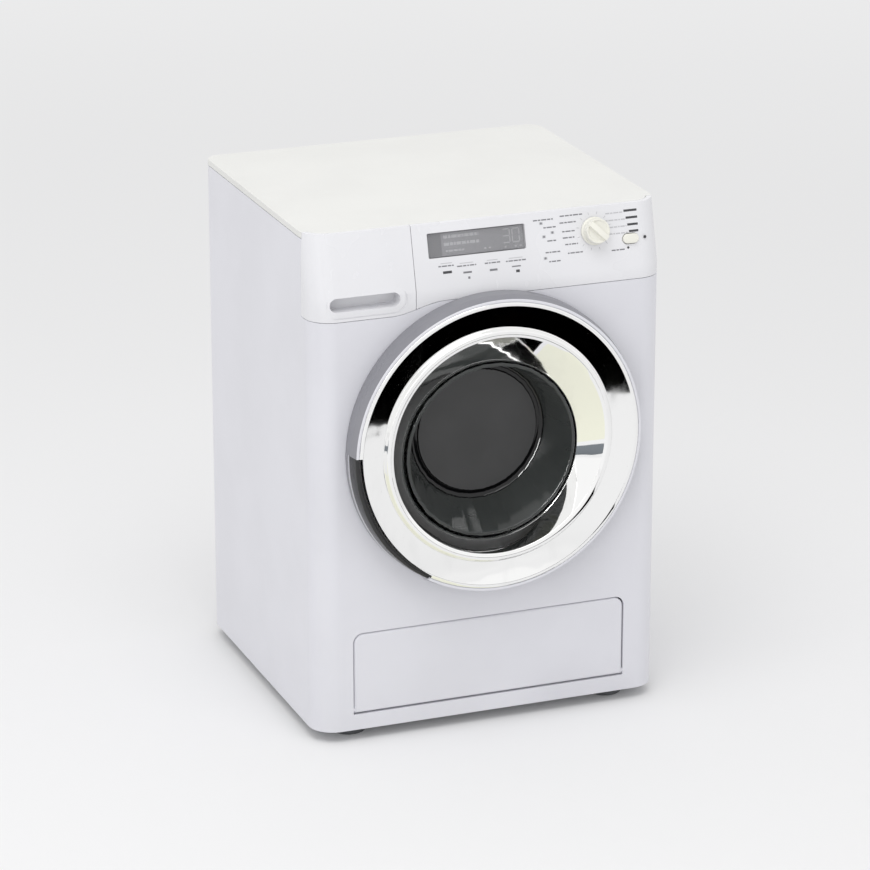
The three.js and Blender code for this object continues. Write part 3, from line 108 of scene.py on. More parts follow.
# Shader maths: an expression on wired values adds its Math nodes
class Wire:
    def __init__(self, tree, socket):
        self.tree = tree
        self.socket = socket

    # any node: its type, its settings first, then its sockets
    def node(self, kind, settings=None, inputs=None, out=0):
        made = self.tree.nodes.new(kind)
        for name, value in (settings or {}).items():
            setattr(made, name, value)
        for name, value in (inputs or {}).items():
            if isinstance(value, Wire):
                self.tree.links.new(value.socket, made.inputs[name])
            else:
                made.inputs[name].default_value = value
        return Wire(self.tree, made.outputs[out] if made.outputs else None)

    def maths(self, operation, *values):
        return self.node("ShaderNodeMath", {"operation": operation}, dict(enumerate(values)))

    def __add__(self, other):
        return self.maths("ADD", self, other)

    def __radd__(self, other):
        return self.maths("ADD", other, self)

    def __sub__(self, other):
        return self.maths("SUBTRACT", self, other)

    def __mul__(self, other):
        return self.maths("MULTIPLY", self, other)

    def smooth(self, low, high):       # 0 below low, 1 above high
        settings = {"interpolation_type": "SMOOTHSTEP"}
        limits = {"Value": self, "From Min": low, "From Max": high}
        return self.node("ShaderNodeMapRange", settings, limits)

    def blend(self, first, second):    # colours, mixed by this value
        colours = {"Factor": self, 6: rgba(first), 7: rgba(second)}
        return self.node("ShaderNodeMix", {"data_type": "RGBA"}, colours, out=2)

    def stretched(self, amounts):
        return self.node("ShaderNodeMapping", {}, {"Vector": self, "Scale": amounts})

    def noise(self, scale, detail=2.0, rough=0.5, stretch=(1, 1, 1)):
        settings = {"Vector": self.stretched(stretch), "Scale": scale, "Detail": detail, "Roughness": rough}
        return self.node("ShaderNodeTexNoise", {}, settings)


def rgba(colour):                      # a plain colour gets its fourth value, a wired one passes
    return colour if isinstance(colour, Wire) else (*colour, 1.0)


def toned(colour, share, more=0.0):
    return [min(1.0, part * share + more) for part in colour]


# A new material and the wired object coordinates that its patterns read
def startMaterial(name):
    made = bpy.data.materials.new(name)
    made.use_nodes = True
    made.node_tree.nodes.clear()
    return made, Wire(made.node_tree, None).node("ShaderNodeTexCoord", out=3)


# Closes a material: plain values go on the shader's own sockets
def closeMaterial(made, coords, sockets, height=None, depth=0.0):
    inputs = dict(sockets)
    if height is not None:
        bump = {"Height": height, "Distance": depth, "Strength": 1.0}
        inputs["Normal"] = coords.node("ShaderNodeBump", {}, bump)
    shader = coords.node("ShaderNodeBsdfPrincipled", {}, inputs)
    coords.node("ShaderNodeOutputMaterial", {}, {"Surface": shader})
    return made


# What a moulding has unless its own look says otherwise
moulding = {
    "cloud": 22,                 # scales of the patterns, per metre
    "grain": 2600,
    "scuffs": 160,
    "dust": 60,
    "scuffStretch": (1, 1, 0.22),
    "shade": 0.965,              # colour of the clouds, of worn edges and of dust, against the plain one
    "pale": 1.08,
    "dusty": 0.75,
    "wear": 0.25,                # how much of each shows
    "dustiness": 0.05,
    "scuff": 0.07,
    "grainDepth": 0.012 * mm,
    "ior": 1.49,
}


# Moulded plastic: faint cloudiness, a fine spark-eroded grain, scuffs that change the gloss, paler worn edges
def plastic(name, colour, rough, **own):
    look = {**moulding, **own}
    made, coords = startMaterial(name)
    cloud = coords.noise(look["cloud"], 3)
    scuff = coords.noise(look["scuffs"], 4, 0.65, look["scuffStretch"]).smooth(0.62, 0.76)
    edge = coords.node("ShaderNodeNewGeometry", out=7).smooth(0.53, 0.62) * look["wear"]     # pointiness
    dust = coords.noise(look["dust"], 5, 0.7).smooth(0.56, 0.8) * look["dustiness"]
    tone = cloud.smooth(0.3, 0.7).blend(toned(colour, look["shade"]), colour)
    tone = edge.blend(tone, toned(colour, look["pale"], 0.01))
    tone = dust.blend(tone, toned(colour, look["dusty"]))
    gloss = rough + scuff * look["scuff"] + (cloud - 0.5) * 0.05
    sockets = {"Base Color": tone, "Roughness": gloss, "IOR": look["ior"]}
    if "coat" in look:
        sockets.update({"Coat Weight": look["coat"], "Coat Roughness": 0.06})
    return closeMaterial(made, coords, sockets, coords.noise(look["grain"], 2), look["grainDepth"])


# Vacuum-metallised plastic: a mirror with the slight ripple of its moulding, smears and a few pin spots
def chromed(name, colour, rough, ripples, rippleDepth, smears, smeared):
    made, coords = startMaterial(name)
    smear = coords.noise(smears, 4, 0.6, (1, 1, 0.4)).smooth(0.52, 0.75)
    spots = coords.noise(900, 1).smooth(0.78, 0.82)
    gloss = rough + smear * smeared + spots * 0.2
    sockets = {"Base Color": smear.blend(colour, toned(colour, 0.95)), "Metallic": 1.0, "Roughness": gloss}
    return closeMaterial(made, coords, sockets, coords.noise(ripples, 2, 0.45), rippleDepth)


# Bare or plated metal with fine drawn lines along one direction
def metal(name, colour, rough, fine, stretch):
    made, coords = startMaterial(name)
    lines = coords.noise(fine, 3, 0.6, stretch)
    stain = coords.noise(70, 4).smooth(0.5, 0.8)
    gloss = rough + (lines - 0.5) * 0.18 + stain * 0.08
    tone = (stain * 0.5).blend(colour, toned(colour, 0.78))
    sockets = {"Base Color": tone, "Metallic": 1.0, "Roughness": gloss}
    return closeMaterial(made, coords, sockets, lines, 0.01 * mm)


# Soft moulded rubber with bloom in patches
def rubber(name, colour, rough):
    made, coords = startMaterial(name)
    bloom = coords.noise(45, 4, 0.6).smooth(0.45, 0.75)
    tone = bloom.blend(colour, toned(colour, 1.35, 0.01))
    sockets = {"Base Color": tone, "Roughness": rough + bloom * 0.12}
    return closeMaterial(made, coords, sockets, coords.noise(1900, 2), 0.02 * mm)


# Smoked clear plastic: dark, glossy, a little of what is behind shows through
def smoked(name, colour, rough, alpha, shine=0.5):
    made, coords = startMaterial(name)
    cloud = coords.noise(30, 3).smooth(0.3, 0.75)
    smear = coords.noise(85, 4, 0.6, (1, 1, 0.5)).smooth(0.55, 0.75)
    sockets = {"Base Color": cloud.blend(colour, toned(colour, 0.8)), "Roughness": rough + smear * 0.05}
    sockets.update({"Alpha": alpha + smear * 0.02, "IOR": 1.49, "Specular IOR Level": shine})
    return closeMaterial(made, coords, sockets, coords.noise(40, 1), 0.06 * mm)


# Circuit board: solder resist with paler traces under it and tinned pads
def boardGreen(name, resist, overTrace, tin):
    made, coords = startMaterial(name)
    grid = {"Vector": coords.stretched((1, 0.2, 1)), "Scale": 260}
    trace = coords.node("ShaderNodeTexVoronoi", {"distance": "CHEBYCHEV"}, grid).smooth(0.42, 0.5)
    pads = coords.noise(1100, 0).smooth(0.72, 0.74)
    tone = pads.blend(trace.blend(resist, overTrace), tin)
    sockets = {"Base Color": tone, "Roughness": 0.32 + trace * 0.1, "Metallic": pads}
    return closeMaterial(made, coords, sockets, trace, 0.03 * mm)


# Shrink sleeve of a cell: two tones that meet at a height, foil-like
def sleeve(name, seamZ, lower, upper):
    made, coords = startMaterial(name)
    up = coords.node("ShaderNodeSeparateXYZ", {}, {"Vector": coords}, out=2)
    foil = coords.noise(700, 2)
    tone = up.smooth(seamZ - 0.2 * mm, seamZ + 0.2 * mm).blend(lower, upper)
    sockets = {"Base Color": tone, "Metallic": 0.55, "Roughness": 0.24 + foil * 0.12}
    return closeMaterial(made, coords, sockets, foil, 0.01 * mm)


finishes = {
    # front, panel and top are white plastic, each darkened to the brightness its part showed: partly painted
    # shade, the most on the front
    "white": plastic("white_moulding", (0.74, 0.74, 0.785), 0.3, scuff=0.03, wear=0.0),
    "panel": plastic("panel_moulding", (0.78, 0.78, 0.805), 0.27, scuff=0.015, wear=0.0),
    "cream": plastic("top_moulding", (0.77, 0.77, 0.745), 0.34, scuff=0.03, wear=0.0),
    "dial": plastic("dial_moulding", (0.82, 0.81, 0.74), 0.3, wear=0.4),
    "grey": plastic("grey_moulding", (0.44, 0.45, 0.47), 0.45, grainDepth=0.03 * mm),
    "dark": plastic("dark_moulding", (0.03, 0.03, 0.033), 0.42, pale=1.8, wear=0.5),
    "black": plastic("black_grip", (0.008, 0.008, 0.009), 0.25, pale=2.0, coat=0.3),
    "ink": plastic("printed_ink", (0.05, 0.05, 0.055), 0.5),
    "inkGrey": plastic("grey_ink", (0.2, 0.2, 0.215), 0.5),
    "inkPale": plastic("pale_ink", (0.52, 0.52, 0.54), 0.5),
    "screen": plastic("screen_card", (0.31, 0.31, 0.325), 0.4, shade=0.85),
    "screenPale": plastic("screen_segments", (0.5, 0.5, 0.52), 0.4),
    "screenDark": plastic("screen_strip", (0.17, 0.17, 0.18), 0.4),
    "gear": plastic("gear_plastic", (0.74, 0.72, 0.64), 0.5),
    "chrome": chromed("chromed_ring", (0.93, 0.93, 0.925), 0.035, 38, 0.2 * mm, 55, 0.035),
    "drum": metal("silvered_drum", (0.6, 0.6, 0.62), 0.28, 900, (1, 0.06, 1)),
    "steel": metal("plated_steel", (0.56, 0.56, 0.57), 0.25, 1400, (1, 0.2, 1)),
    "brass": metal("turned_brass", (0.68, 0.5, 0.22), 0.25, 1600, (1, 0.1, 1)),
    "rubber": rubber("grey_rubber", (0.1, 0.104, 0.11), 0.62),
    "seal": rubber("door_seal_rubber", (0.2, 0.205, 0.21), 0.55),
    "smoke": smoked("smoked_bowl", (0.048, 0.052, 0.051), 0.07, 0.93),
    "smokeFloor": smoked("smoked_floor", (0.055, 0.055, 0.056), 0.32, 0.95),
    # the cove's near-black colour and low shine are a painted dark reflection
    "smokeCoveDarkReflection": smoked("smoked_cove", (0.004, 0.004, 0.0045), 0.04, 0.98, shine=0.45),
    # the flank's dark grey is partly the plastic's own and partly painted shade and dark reflection
    "flank": plastic("flank_moulding", (0.25, 0.25, 0.275), 0.33),
    "lens": smoked("clear_lens", (0.5, 0.5, 0.52), 0.08, 0.16),
    "board": boardGreen("board_resist", (0.012, 0.075, 0.03), (0.03, 0.16, 0.06), (0.62, 0.6, 0.55)),
    "cell": sleeve("cell_sleeve", 52 * mm, (0.03, 0.16, 0.07), (0.7, 0.66, 0.5)),
}
print("finishes made:", len(finishes))


# Modelling helpers, each a few operators
def onlySelect(*pieces):
    if bpy.context.object and bpy.context.object.mode != "OBJECT":
        bpy.ops.object.mode_set(mode="OBJECT")
    bpy.ops.object.select_all(action="DESELECT")
    for piece in pieces:
        piece.select_set(True)
    bpy.context.view_layer.objects.active = pieces[0]


def leaveEdit():
    bpy.ops.object.mode_set(mode="OBJECT")


def editWhole(piece):           # edit mode with everything selected
    onlySelect(piece)
    bpy.ops.object.mode_set(mode="EDIT")
    bpy.ops.mesh.select_all(action="SELECT")


def settle(piece):              # place, turn and size go into the mesh
    onlySelect(piece)
    bpy.ops.object.transform_apply(location=True, rotation=True, scale=True)
    return piece


def startPiece(name, add, **settings):
    bpy.ops.object.select_all(action="DESELECT")
    add(**settings)
    bpy.context.object.name = name
    return bpy.context.object


def addBlock(name, low, high):
    low, high = Vector(low), Vector(high)
    sizes = {"size": 1, "location": (low + high) / 2, "scale": high - low}
    return settle(startPiece(name, bpy.ops.mesh.primitive_cube_add, **sizes))


def addRod(name, start, end, radius, steps=48, tip=None):
    start, end = Vector(start), Vector(end)
    turn = (end - start).to_track_quat("Z", "Y").to_euler()
    sizes = {"depth": (end - start).length, "radius1": radius, "radius2": radius if tip is None else tip}
    sizes.update({"vertices": steps, "location": (start + end) / 2, "rotation": turn})
    return settle(startPiece(name, bpy.ops.mesh.primitive_cone_add, **sizes))


# A block about a place on the front or back, given by half its width and half its height
def platform(name, x, z, halfWidth, halfHeight, front, back):
    return addBlock(name, (x - halfWidth, front, z - halfHeight), (x + halfWidth, back, z + halfHeight))


# Leaves the piece in edit mode with only the parts selected that the rule takes
def pick(piece, kind, parts, rule):
    onlySelect(piece)
    bpy.ops.object.mode_set(mode="EDIT")
    bpy.ops.mesh.select_mode(type=kind)
    bpy.ops.mesh.select_all(action="DESELECT")
    bpy.ops.object.mode_set(mode="OBJECT")
    for part in getattr(piece.data, parts):
        part.select = bool(rule(part))
    bpy.ops.object.mode_set(mode="EDIT")


def pickFaces(piece, rule):
    pick(piece, "FACE", "polygons", lambda face: rule(face.center, face.normal))


def pickEdges(piece, rule):
    pick(piece, "EDGE", "edges", lambda edge: rule(*(piece.data.vertices[i].co for i in edge.vertices)))


def pickPoints(piece, rule):
    pick(piece, "VERT", "vertices", lambda point: rule(point.co))


def repaint(piece, slot, rule):         # gives the faces that the rule takes another of the piece's finishes
    pickFaces(piece, rule)
    piece.active_material_index = slot
    bpy.ops.object.material_slot_assign()
    leaveEdit()


def roundEdges(piece, radius, steps, rule):
    pickEdges(piece, rule)
    bpy.ops.mesh.bevel(offset=radius, segments=steps, affect="EDGES")
    leaveEdit()
    return piece


def along(axis):
    others = [k for k in range(3) if k != axis]
    return lambda a, b: all(abs(a[k] - b[k]) < near for k in others)


alongX, alongY, alongZ = along(0), along(1), along(2)


def modify(piece, kind, **settings):
    onlySelect(piece)
    change = piece.modifiers.new(kind.lower(), kind)
    for name, value in settings.items():
        setattr(change, name, value)
    bpy.ops.object.modifier_apply(modifier=change.name)
    return piece


def combine(piece, operation, *tools):      # boolean with tools that are used up
    for tool in tools:
        modify(piece, "BOOLEAN", operation=operation, object=tool, solver="EXACT")
        bpy.data.objects.remove(tool)
    return piece


def cut(piece, *tools):
    return combine(piece, "DIFFERENCE", *tools)


def weld(piece, *tools):
    return combine(piece, "UNION", *tools)


def softened(piece, width, steps=3, angle=32):
    editWhole(piece)
    bpy.ops.mesh.remove_doubles(threshold=mm / 200)
    bpy.ops.mesh.dissolve_limited(angle_limit=radians(0.4))
    leaveEdit()
    settings = {"limit_method": "ANGLE", "angle_limit": radians(angle), "miter_outer": "MITER_ARC"}
    return modify(piece, "BEVEL", width=width, segments=steps, use_clamp_overlap=True, **settings)


def smoothed(piece, angle=30):
    onlySelect(piece)
    bpy.ops.object.shade_smooth_by_angle(angle=radians(angle))
    return piece


def evened(piece, angle=30):                # smooth, with the big flat faces kept flat
    return modify(smoothed(piece, angle), "WEIGHTED_NORMAL", keep_sharp=True)


def painted(piece, *names):
    piece.data.materials.clear()
    for name in names:
        piece.data.materials.append(finishes[name])
    return piece


def copyOf(piece, name, shift=(0, 0, 0)):
    copied = piece.copy()
    copied.data = piece.data.copy()
    copied.name = name
    copied.location = Vector(shift)
    bpy.context.collection.objects.link(copied)
    return settle(copied)


def joined(name, pieces):
    onlySelect(*pieces)
    if len(pieces) > 1:
        bpy.ops.object.join()
    bpy.context.object.name = name
    return bpy.context.object


# The piece rides on its body and, where it stands for CAD nodes, takes their place
def place(piece, body, *covers):
    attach(piece, body)
    if covers:
        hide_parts(*covers)
    return piece


# A ring or cup grown from a circle: rows hold radius, y and how far the circle drops off the axis
def turned(name, rows, centre, steps=128, closed=True):
    radius, y, drop = rows[0]
    sizes = {"vertices": steps, "radius": radius, "rotation": (pi / 2, 0, 0)}
    sizes["location"] = (centre.x, y, centre.z - drop)
    ring = settle(startPiece(name, bpy.ops.mesh.primitive_circle_add, **sizes))
    bpy.ops.object.mode_set(mode="EDIT")
    bpy.ops.mesh.select_mode(type="EDGE")
    bpy.ops.mesh.select_all(action="SELECT")
    for (r0, y0, d0), (r1, y1, d1) in zip(rows, rows[1:]):
        bpy.ops.mesh.extrude_region_move(TRANSFORM_OT_translate={"value": (0, y1 - y0, d0 - d1)})
        size = max(r1, speck) / max(r0, speck)
        middle = (centre.x, y1, centre.z - d1)
        bpy.ops.transform.resize(value=(size, 1, size), center_override=middle)
    bpy.ops.mesh.select_all(action="SELECT")
    bpy.ops.mesh.remove_doubles(threshold=mm / 100)
    if closed:
        bpy.ops.mesh.normals_make_consistent(inside=False)
    leaveEdit()
    return ring


# Rounds the corners of a profile: rows of radius, y, drop and the corner's own radius in millimetres
def rounded(rows, steps=4, loop=True):
    made = []
    for i, (*spot, corner) in enumerate(rows):
        point = Vector(spot)
        if corner == 0 or (not loop and i in (0, len(rows) - 1)):
            made.append(tuple(point))
            continue
        before = Vector(rows[i - 1][:3]) - point
        after = Vector(rows[(i + 1) % len(rows)][:3]) - point
        back = corner * mm / tan(before.angle(after) / 2)
        back = min(back, before.length * 0.45, after.length * 0.45)
        a, b = point + before.normalized() * back, point + after.normalized() * back
        for k in range(steps + 1):
            t = k / steps
            made.append(tuple(a * (1 - t) ** 2 + point * 2 * t * (1 - t) + b * t ** 2))
    if loop:
        made.append(made[0])
    return made


# The cabinet's outside between two heights, drawn in by an inset and leaning back above the bend
def cabinetBlock(name, inset, low, high):
    front, side = frontY + inset, cabinet["halfWidth"] - inset
    middle = (front + rearY) / 2
    piece = addBlock(name, (-side, front, low), (side, rearY - inset, high))
    for radius, rear in ((cabinet["frontCorner"], False), (cabinet["rearCorner"], True)):
        roundEdges(piece, max(radius - inset, mm), cabinet["cornerSteps"],
                   lambda a, b: alongZ(a, b) and (a.y > middle) == rear and abs(a.x) > side - near)
    if low < bendZ < high:
        editWhole(piece)
        bpy.ops.mesh.bisect(plane_co=(0, 0, bendZ), plane_no=(0, 0, 1))
        leaveEdit()
    for z in (low, high):
        if z > bendZ:
            pickPoints(piece, lambda p: abs(p.z - z) < near and p.y < middle)
            bpy.ops.transform.translate(value=(0, frontAt(z) - frontY, 0))
            leaveEdit()
    return piece


seam = {
    "panelLow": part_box("control_panel")[0].z,      # level part of the panel's lower edge
    "drawerLow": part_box("drawer_front")[0].z,
    "climbFrom": -52 * mm,
    "climbTo": -24 * mm,
    "steps": 28,
    "panelDepth": 17 * mm,
}
panelBack = frontY + seam["panelDepth"] + gap
climb = seam["climbTo"] - seam["climbFrom"]


# Height of the seam under the panel and the drawer front
def seamAt(x):
    t = min(1, max(0, (x - seam["climbFrom"]) / climb))
    return seam["drawerLow"] + (seam["panelLow"] - seam["drawerLow"]) * t * t * (3 - 2 * t)


# Everything above the seam and in front of the panel's rear edge, as a block with a curved floor
def panelZone(name, grow, left=-far, right=far):
    low = min(seamAt(left), seamAt(right)) - grow
    back = panelBack - gap + grow
    zone = addBlock(name, (left, frontY - 2 * over, low), (right, back, cabinet["top"] + 2 * over))
    for i in range(seam["steps"] + 1):
        x = seam["climbFrom"] + climb * i / seam["steps"]
        if left < x < right:
            editWhole(zone)
            bpy.ops.mesh.bisect(plane_co=(x, 0, 0), plane_no=(1, 0, 0))
    leaveEdit()
    for x in sorted({round(p.co.x, 7) for p in zone.data.vertices}):
        lift = seamAt(x) - grow - low
        if lift > speck:
            pickPoints(zone, lambda p: abs(p.x - x) < mm / 100 and p.z < low + mm / 10)
            bpy.ops.transform.translate(value=(0, 0, lift))
            leaveEdit()
    return zone


flap = {
    "low": flapLow.z,
    "high": flapHigh.z,
    "halfWidth": 72.5 * mm,
    "corner": 5 * mm,
    "gap": 0.5 * mm,
    "sill": 0.8 * mm,
    "thickness": 3 * mm,
    "pin": 1.2 * mm,
    "pinOut": 1.6 * mm,
    "recess": 7 * mm,
    "bevel": 1.3 * mm,             # sloping edge round the flap's face
}


# A plate with round upper corners
def archedPlate(name, halfWidth, low, high, front, back, corner):
    plate = addBlock(name, (-halfWidth, front, low), (halfWidth, back, high))
    return roundEdges(plate, corner, 10, lambda a, b: alongY(a, b) and a.z > high - near)


shell = {
    "opening": 66 * mm,            # radius of the door opening
    "latchSlot": inMm(1.5, 4.3),
    "ear": inMm(2.6, 6),           # hinge ear: radius, half length
    "recessWall": 2 * mm,
}
hingeX, hingeY = joints["door_hinge"]["pos_m"][:2]
latchX = middleOfNode("door_latch").x


def makeFrontShell():
    wall = cabinetBlock("cabinet_shell", 0, shellLow.z, shellHigh.z)
    cut(wall, cabinetBlock("hollow", cabinet["wall"], shellLow.z - 2 * over, shellHigh.z + 2 * over),
        addBlock("behind", (-far, shellHigh.y, -mm), (far, far, far)), panelZone("zone", gap))
    start, end = (doorCentre + Vector((0, frontY + side * 2 * over, 0)) for side in (-1, 1))
    cut(wall, addRod("opening", start, end, shell["opening"], 128))
    width, low, high = flap["halfWidth"] + flap["gap"], flap["low"] - flap["sill"], flap["high"] + flap["gap"]
    side, deep, corner = shell["recessWall"], frontY + flap["recess"], flap["corner"]
    pan = archedPlate("pan", width + side, low - side, high + side, frontY + mm, deep + side, corner + side)
    weld(wall, pan)
    cut(wall, archedPlate("room", width, low, high, frontY - over, deep, corner),
        platform("slot", latchX, doorCentre.z, *shell["latchSlot"], frontY - over, frontY + over))
    softened(wall, cabinet["softEdge"])
    radius, half = shell["ear"]
    low, high = (Vector((hingeX, hingeY, doorCentre.z + side * half)) for side in (-1, 1))
    web = addBlock("web", low - Vector((radius, 0, 0)), (hingeX + radius / 2, frontY + 0.5 * mm, high.z))
    ear = weld(addRod("ear", low, high, radius, 32), web)
    piece = joined("cabinet_shell", [wall, softened(ear, 0.2 * mm, 2)])
    place(painted(evened(piece), "white"), "cabinet", "front_shell")


makeFrontShell()
print("front shell done")


# Turns a piece made about the origin, facing the front, onto the leaning panel
def leaned(piece, x, lift, out=0.0):
    piece.rotation_euler = (-cabinet["slant"], 0, 0)
    piece.location = panelPoint(x, lift, out)
    return settle(piece)


# Top plate: lies on the side walls, inside the panel's top edge
topPlate = {"edge": 0.9 * mm, "steps": 4, "rise": 8 * mm}


def makeTopPlate():
    rise = topPlate["rise"]
    slab = cabinetBlock("top_cover", 0, topLow.z, topHigh.z)
    rim = cabinetBlock("rim", -mm, topLow.z - rise, topHigh.z + rise)
    cut(rim, cabinetBlock("inside", cabinet["wall"] + gap, topLow.z - 2 * rise, topHigh.z + 2 * rise),
        addBlock("behind", (-far, panelBack, -far), (far, far, far)))
    softened(cut(slab, rim), topPlate["edge"], topPlate["steps"])
    place(painted(evened(slab), "cream"), "cabinet", "top_plate")


# The leaning wall that the control panel and the drawer front are cut from
panel = {
    "edge": 0.55 * mm,
    "parting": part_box("drawer_front")[1].x,     # between drawer front and panel
    "window": inMm(-5.8, 20.6, 51, 12.2),       # place across and up from the bend, then size
    "windowCorner": 0.7 * mm,
    "dial": inMm(56, 19.4),
    "dialHole": 2.5 * mm,
    "start": inMm(75, 14, 8.2, 4.8),
    "cutter": 8 * mm,
}


def fascia(name, left, right):
    low = seam["drawerLow"] - over
    wall = cabinetBlock(name, 0, low, cabinet["top"])
    cut(wall, cabinetBlock("hollow", cabinet["wall"], low - over, cabinet["top"] + over))
    return combine(wall, "INTERSECT", panelZone("zone", 0, left, right))


# A plate about the origin with round ends or corners, facing the front
def leafPlate(name, width, height, front, back, corner):
    plate = platform(name, 0, 0, width / 2, height / 2, front, back)
    return roundEdges(plate, min(corner, width / 2.02, height / 2.02), 8, alongY)


def makeControlPanel():
    wall = fascia("control_fascia", panel["parting"] + gap, far)
    deep = panel["cutter"]
    x, lift, width, height = panel["window"]
    cut(wall, leaned(leafPlate("window", width, height, -deep, deep, panel["windowCorner"]), x, lift),
        leaned(addRod("bore", (0, -deep, 0), (0, deep, 0), panel["dialHole"]), *panel["dial"]))
    x, lift, width, height = panel["start"]
    hole = leafPlate("button_hole", width + 2 * gap, height + 2 * gap, -deep, deep, height)
    cut(wall, leaned(hole, x, lift))
    softened(wall, panel["edge"])
    place(painted(evened(wall), "panel"), "cabinet", "control_panel")


# Drawer front with its grip pocket and the faint moulded frame round the pocket
drawer = {
    "grip": inMm(-65.6, 228.5, 18, 3.5),        # middle and half size
    "depth": 8 * mm,
    "wall": 1.5 * mm,
    "frameOut": 3.6 * mm,          # moulded frame outside the pocket
    "frameWidth": 0.7 * mm,
    "frameDepth": 0.35 * mm,
}


def pocketPlate(name, grow, front, back):
    x, z, halfWidth, halfHeight = drawer["grip"]
    plate = platform(name, x, z, halfWidth + grow, halfHeight + grow, front, back)
    return roundEdges(plate, halfHeight / 1.025 + grow, 12, alongY)


def makeDrawerFront():
    wall, side, out = fascia("drawer_fascia", -far, panel["parting"]), drawer["wall"], drawer["frameOut"]
    weld(wall, pocketPlate("pocket", side, frontY + mm, frontY + drawer["depth"] + side))
    groove = pocketPlate("groove", out, frontY - over, frontY + drawer["frameDepth"])
    cut(groove, pocketPlate("inside", out - drawer["frameWidth"], frontY - 2 * over, frontY + over))
    cut(wall, pocketPlate("room", 0, frontY - over, frontY + drawer["depth"]), groove)
    softened(wall, cabinet["softEdge"])
    place(painted(evened(wall), "panel"), "drawer", "drawer_front")


# Service flap: a rounded plate with a sloping edge and its two pivot pins
def makeFlap():
    half, thick, low = flap["halfWidth"], flap["thickness"], flap["low"]
    leaf = archedPlate("service_flap_cover", half, low, flap["high"], frontY, frontY + thick, flap["corner"])
    roundEdges(leaf, flap["bevel"], 4, lambda a, b: abs(a.y - frontY) < near and abs(b.y - frontY) < near)
    start, end = ((side * (half + flap["pinOut"]), frontY + thick / 2, low + thick / 2) for side in (-1, 1))
    piece = joined("service_flap_cover", [leaf, addRod("pivot", start, end, flap["pin"], 24)])
    place(painted(evened(piece, 40), "white"), "flap", "service_flap")


makeTopPlate()
makeControlPanel()
makeDrawerFront()
makeFlap()
print("top plate, control panel, drawer front and service flap done")


# Door ring: chromed band, bead and eccentric funnel in one, in a white channel with a grey flank, its grey
# partly painted shade
door = {
    "ring": 76.5 * mm,
    "face": 75.2 * mm,                 # radius of the channel's front edge
    "rim": 1.9 * mm,
    "bandOuter": 73.9 * mm,
    "valley": 60.4 * mm,
    "valleyDepth": 2.5 * mm,
    "crest": 58.6 * mm,
    "lip": 55.9 * mm,
    "skin": 2 * mm,
    "bowlRim": 45.3 * mm,
    "bowlDrop": 5.6 * mm,
    "funnelDepth": 13 * mm,
    "funnelWall": 1.6 * mm,
    "knuckle": 2.6 * mm,
    "knuckleHalf": inMm(6.3, 14),
    "notch": 3.5 * mm,
    "arm": 2.9 * mm,                   # the hinge arm starts this far inside the notch
    "grip": (radians(178), radians(240)),
    "gripAim": radians(206),
    "gripWidth": 5 * mm,
    "gripShift": 8 * mm,
    "gripLining": 10 * mm,
    "gripBack": 3.8 * mm,
    "gripEdge": 0.35 * mm,
    "armEdge": 0.2 * mm,
    "steps": 160,
}


# The finger grip's crescent: a sector of the ring outside a circle that is shifted away from it
def crescent(name, grow, front, back):
    reach, shift, aim = door["ring"] + 8 * mm, door["gripShift"], door["gripAim"]
    whole = addRod(name, doorCentre + Vector((0, front, 0)), doorCentre + Vector((0, back, 0)), reach, 96)
    middle = doorCentre - Vector((shift * cos(aim), 0, shift * sin(aim)))
    start, end = middle + Vector((0, front - over, 0)), middle + Vector((0, back + over, 0))
    cut(whole, addRod("kept", start, end, door["ring"] - door["gripWidth"] + shift - grow, 160))
    for angle, turn in zip(door["grip"], (pi, 0)):
        half = addBlock("half", (-2 * reach, front - over, 0), (2 * reach, back + over, 3 * reach))
        half.rotation_euler = (0, turn - angle, 0)
        half.location = doorCentre
        cut(whole, settle(half))
    return whole


def makeDoorRing():
    skin, drop, wall = door["skin"], door["bowlDrop"], door["funnelWall"]
    names = ("bandOuter", "valley", "crest", "lip", "bowlRim")
    outer, valley, crest, lip, funnel = (door[name] for name in names)
    depth, valleyY = ringFront + door["funnelDepth"], ringFront + door["valleyDepth"]
    rows = [
        (outer, ringFront + skin, 0, 0.3),
        (outer, ringFront + 0.1 * mm, 0, 0.9),
        (outer - skin, ringFront, 0, 1.1),
        (valley, valleyY, 0, 0.4),
        (crest + 0.7 * mm, ringFront + 0.2 * mm, 0, 0.9),
        (crest - 1.2 * mm, ringFront + 0.1 * mm, 0, 1.2),
        (lip, ringFront + 0.8 * mm, 0, 0.5),
        (funnel, depth, drop, 0.3),
        (funnel + wall, depth, drop, 0.3),
        (lip + wall, ringFront + skin + mm, 0, 0.6),
        (valley, valleyY + skin, 0, 0.6),
    ]
    ring = turned("chrome_ring", rounded(rows, steps=6), doorCentre, door["steps"])
    cut(ring, crescent("grip_room", 0.2 * mm, ringFront - over, frontY + over))
    place(painted(smoothed(ring, 42), "chrome"), "door", "door_ring")


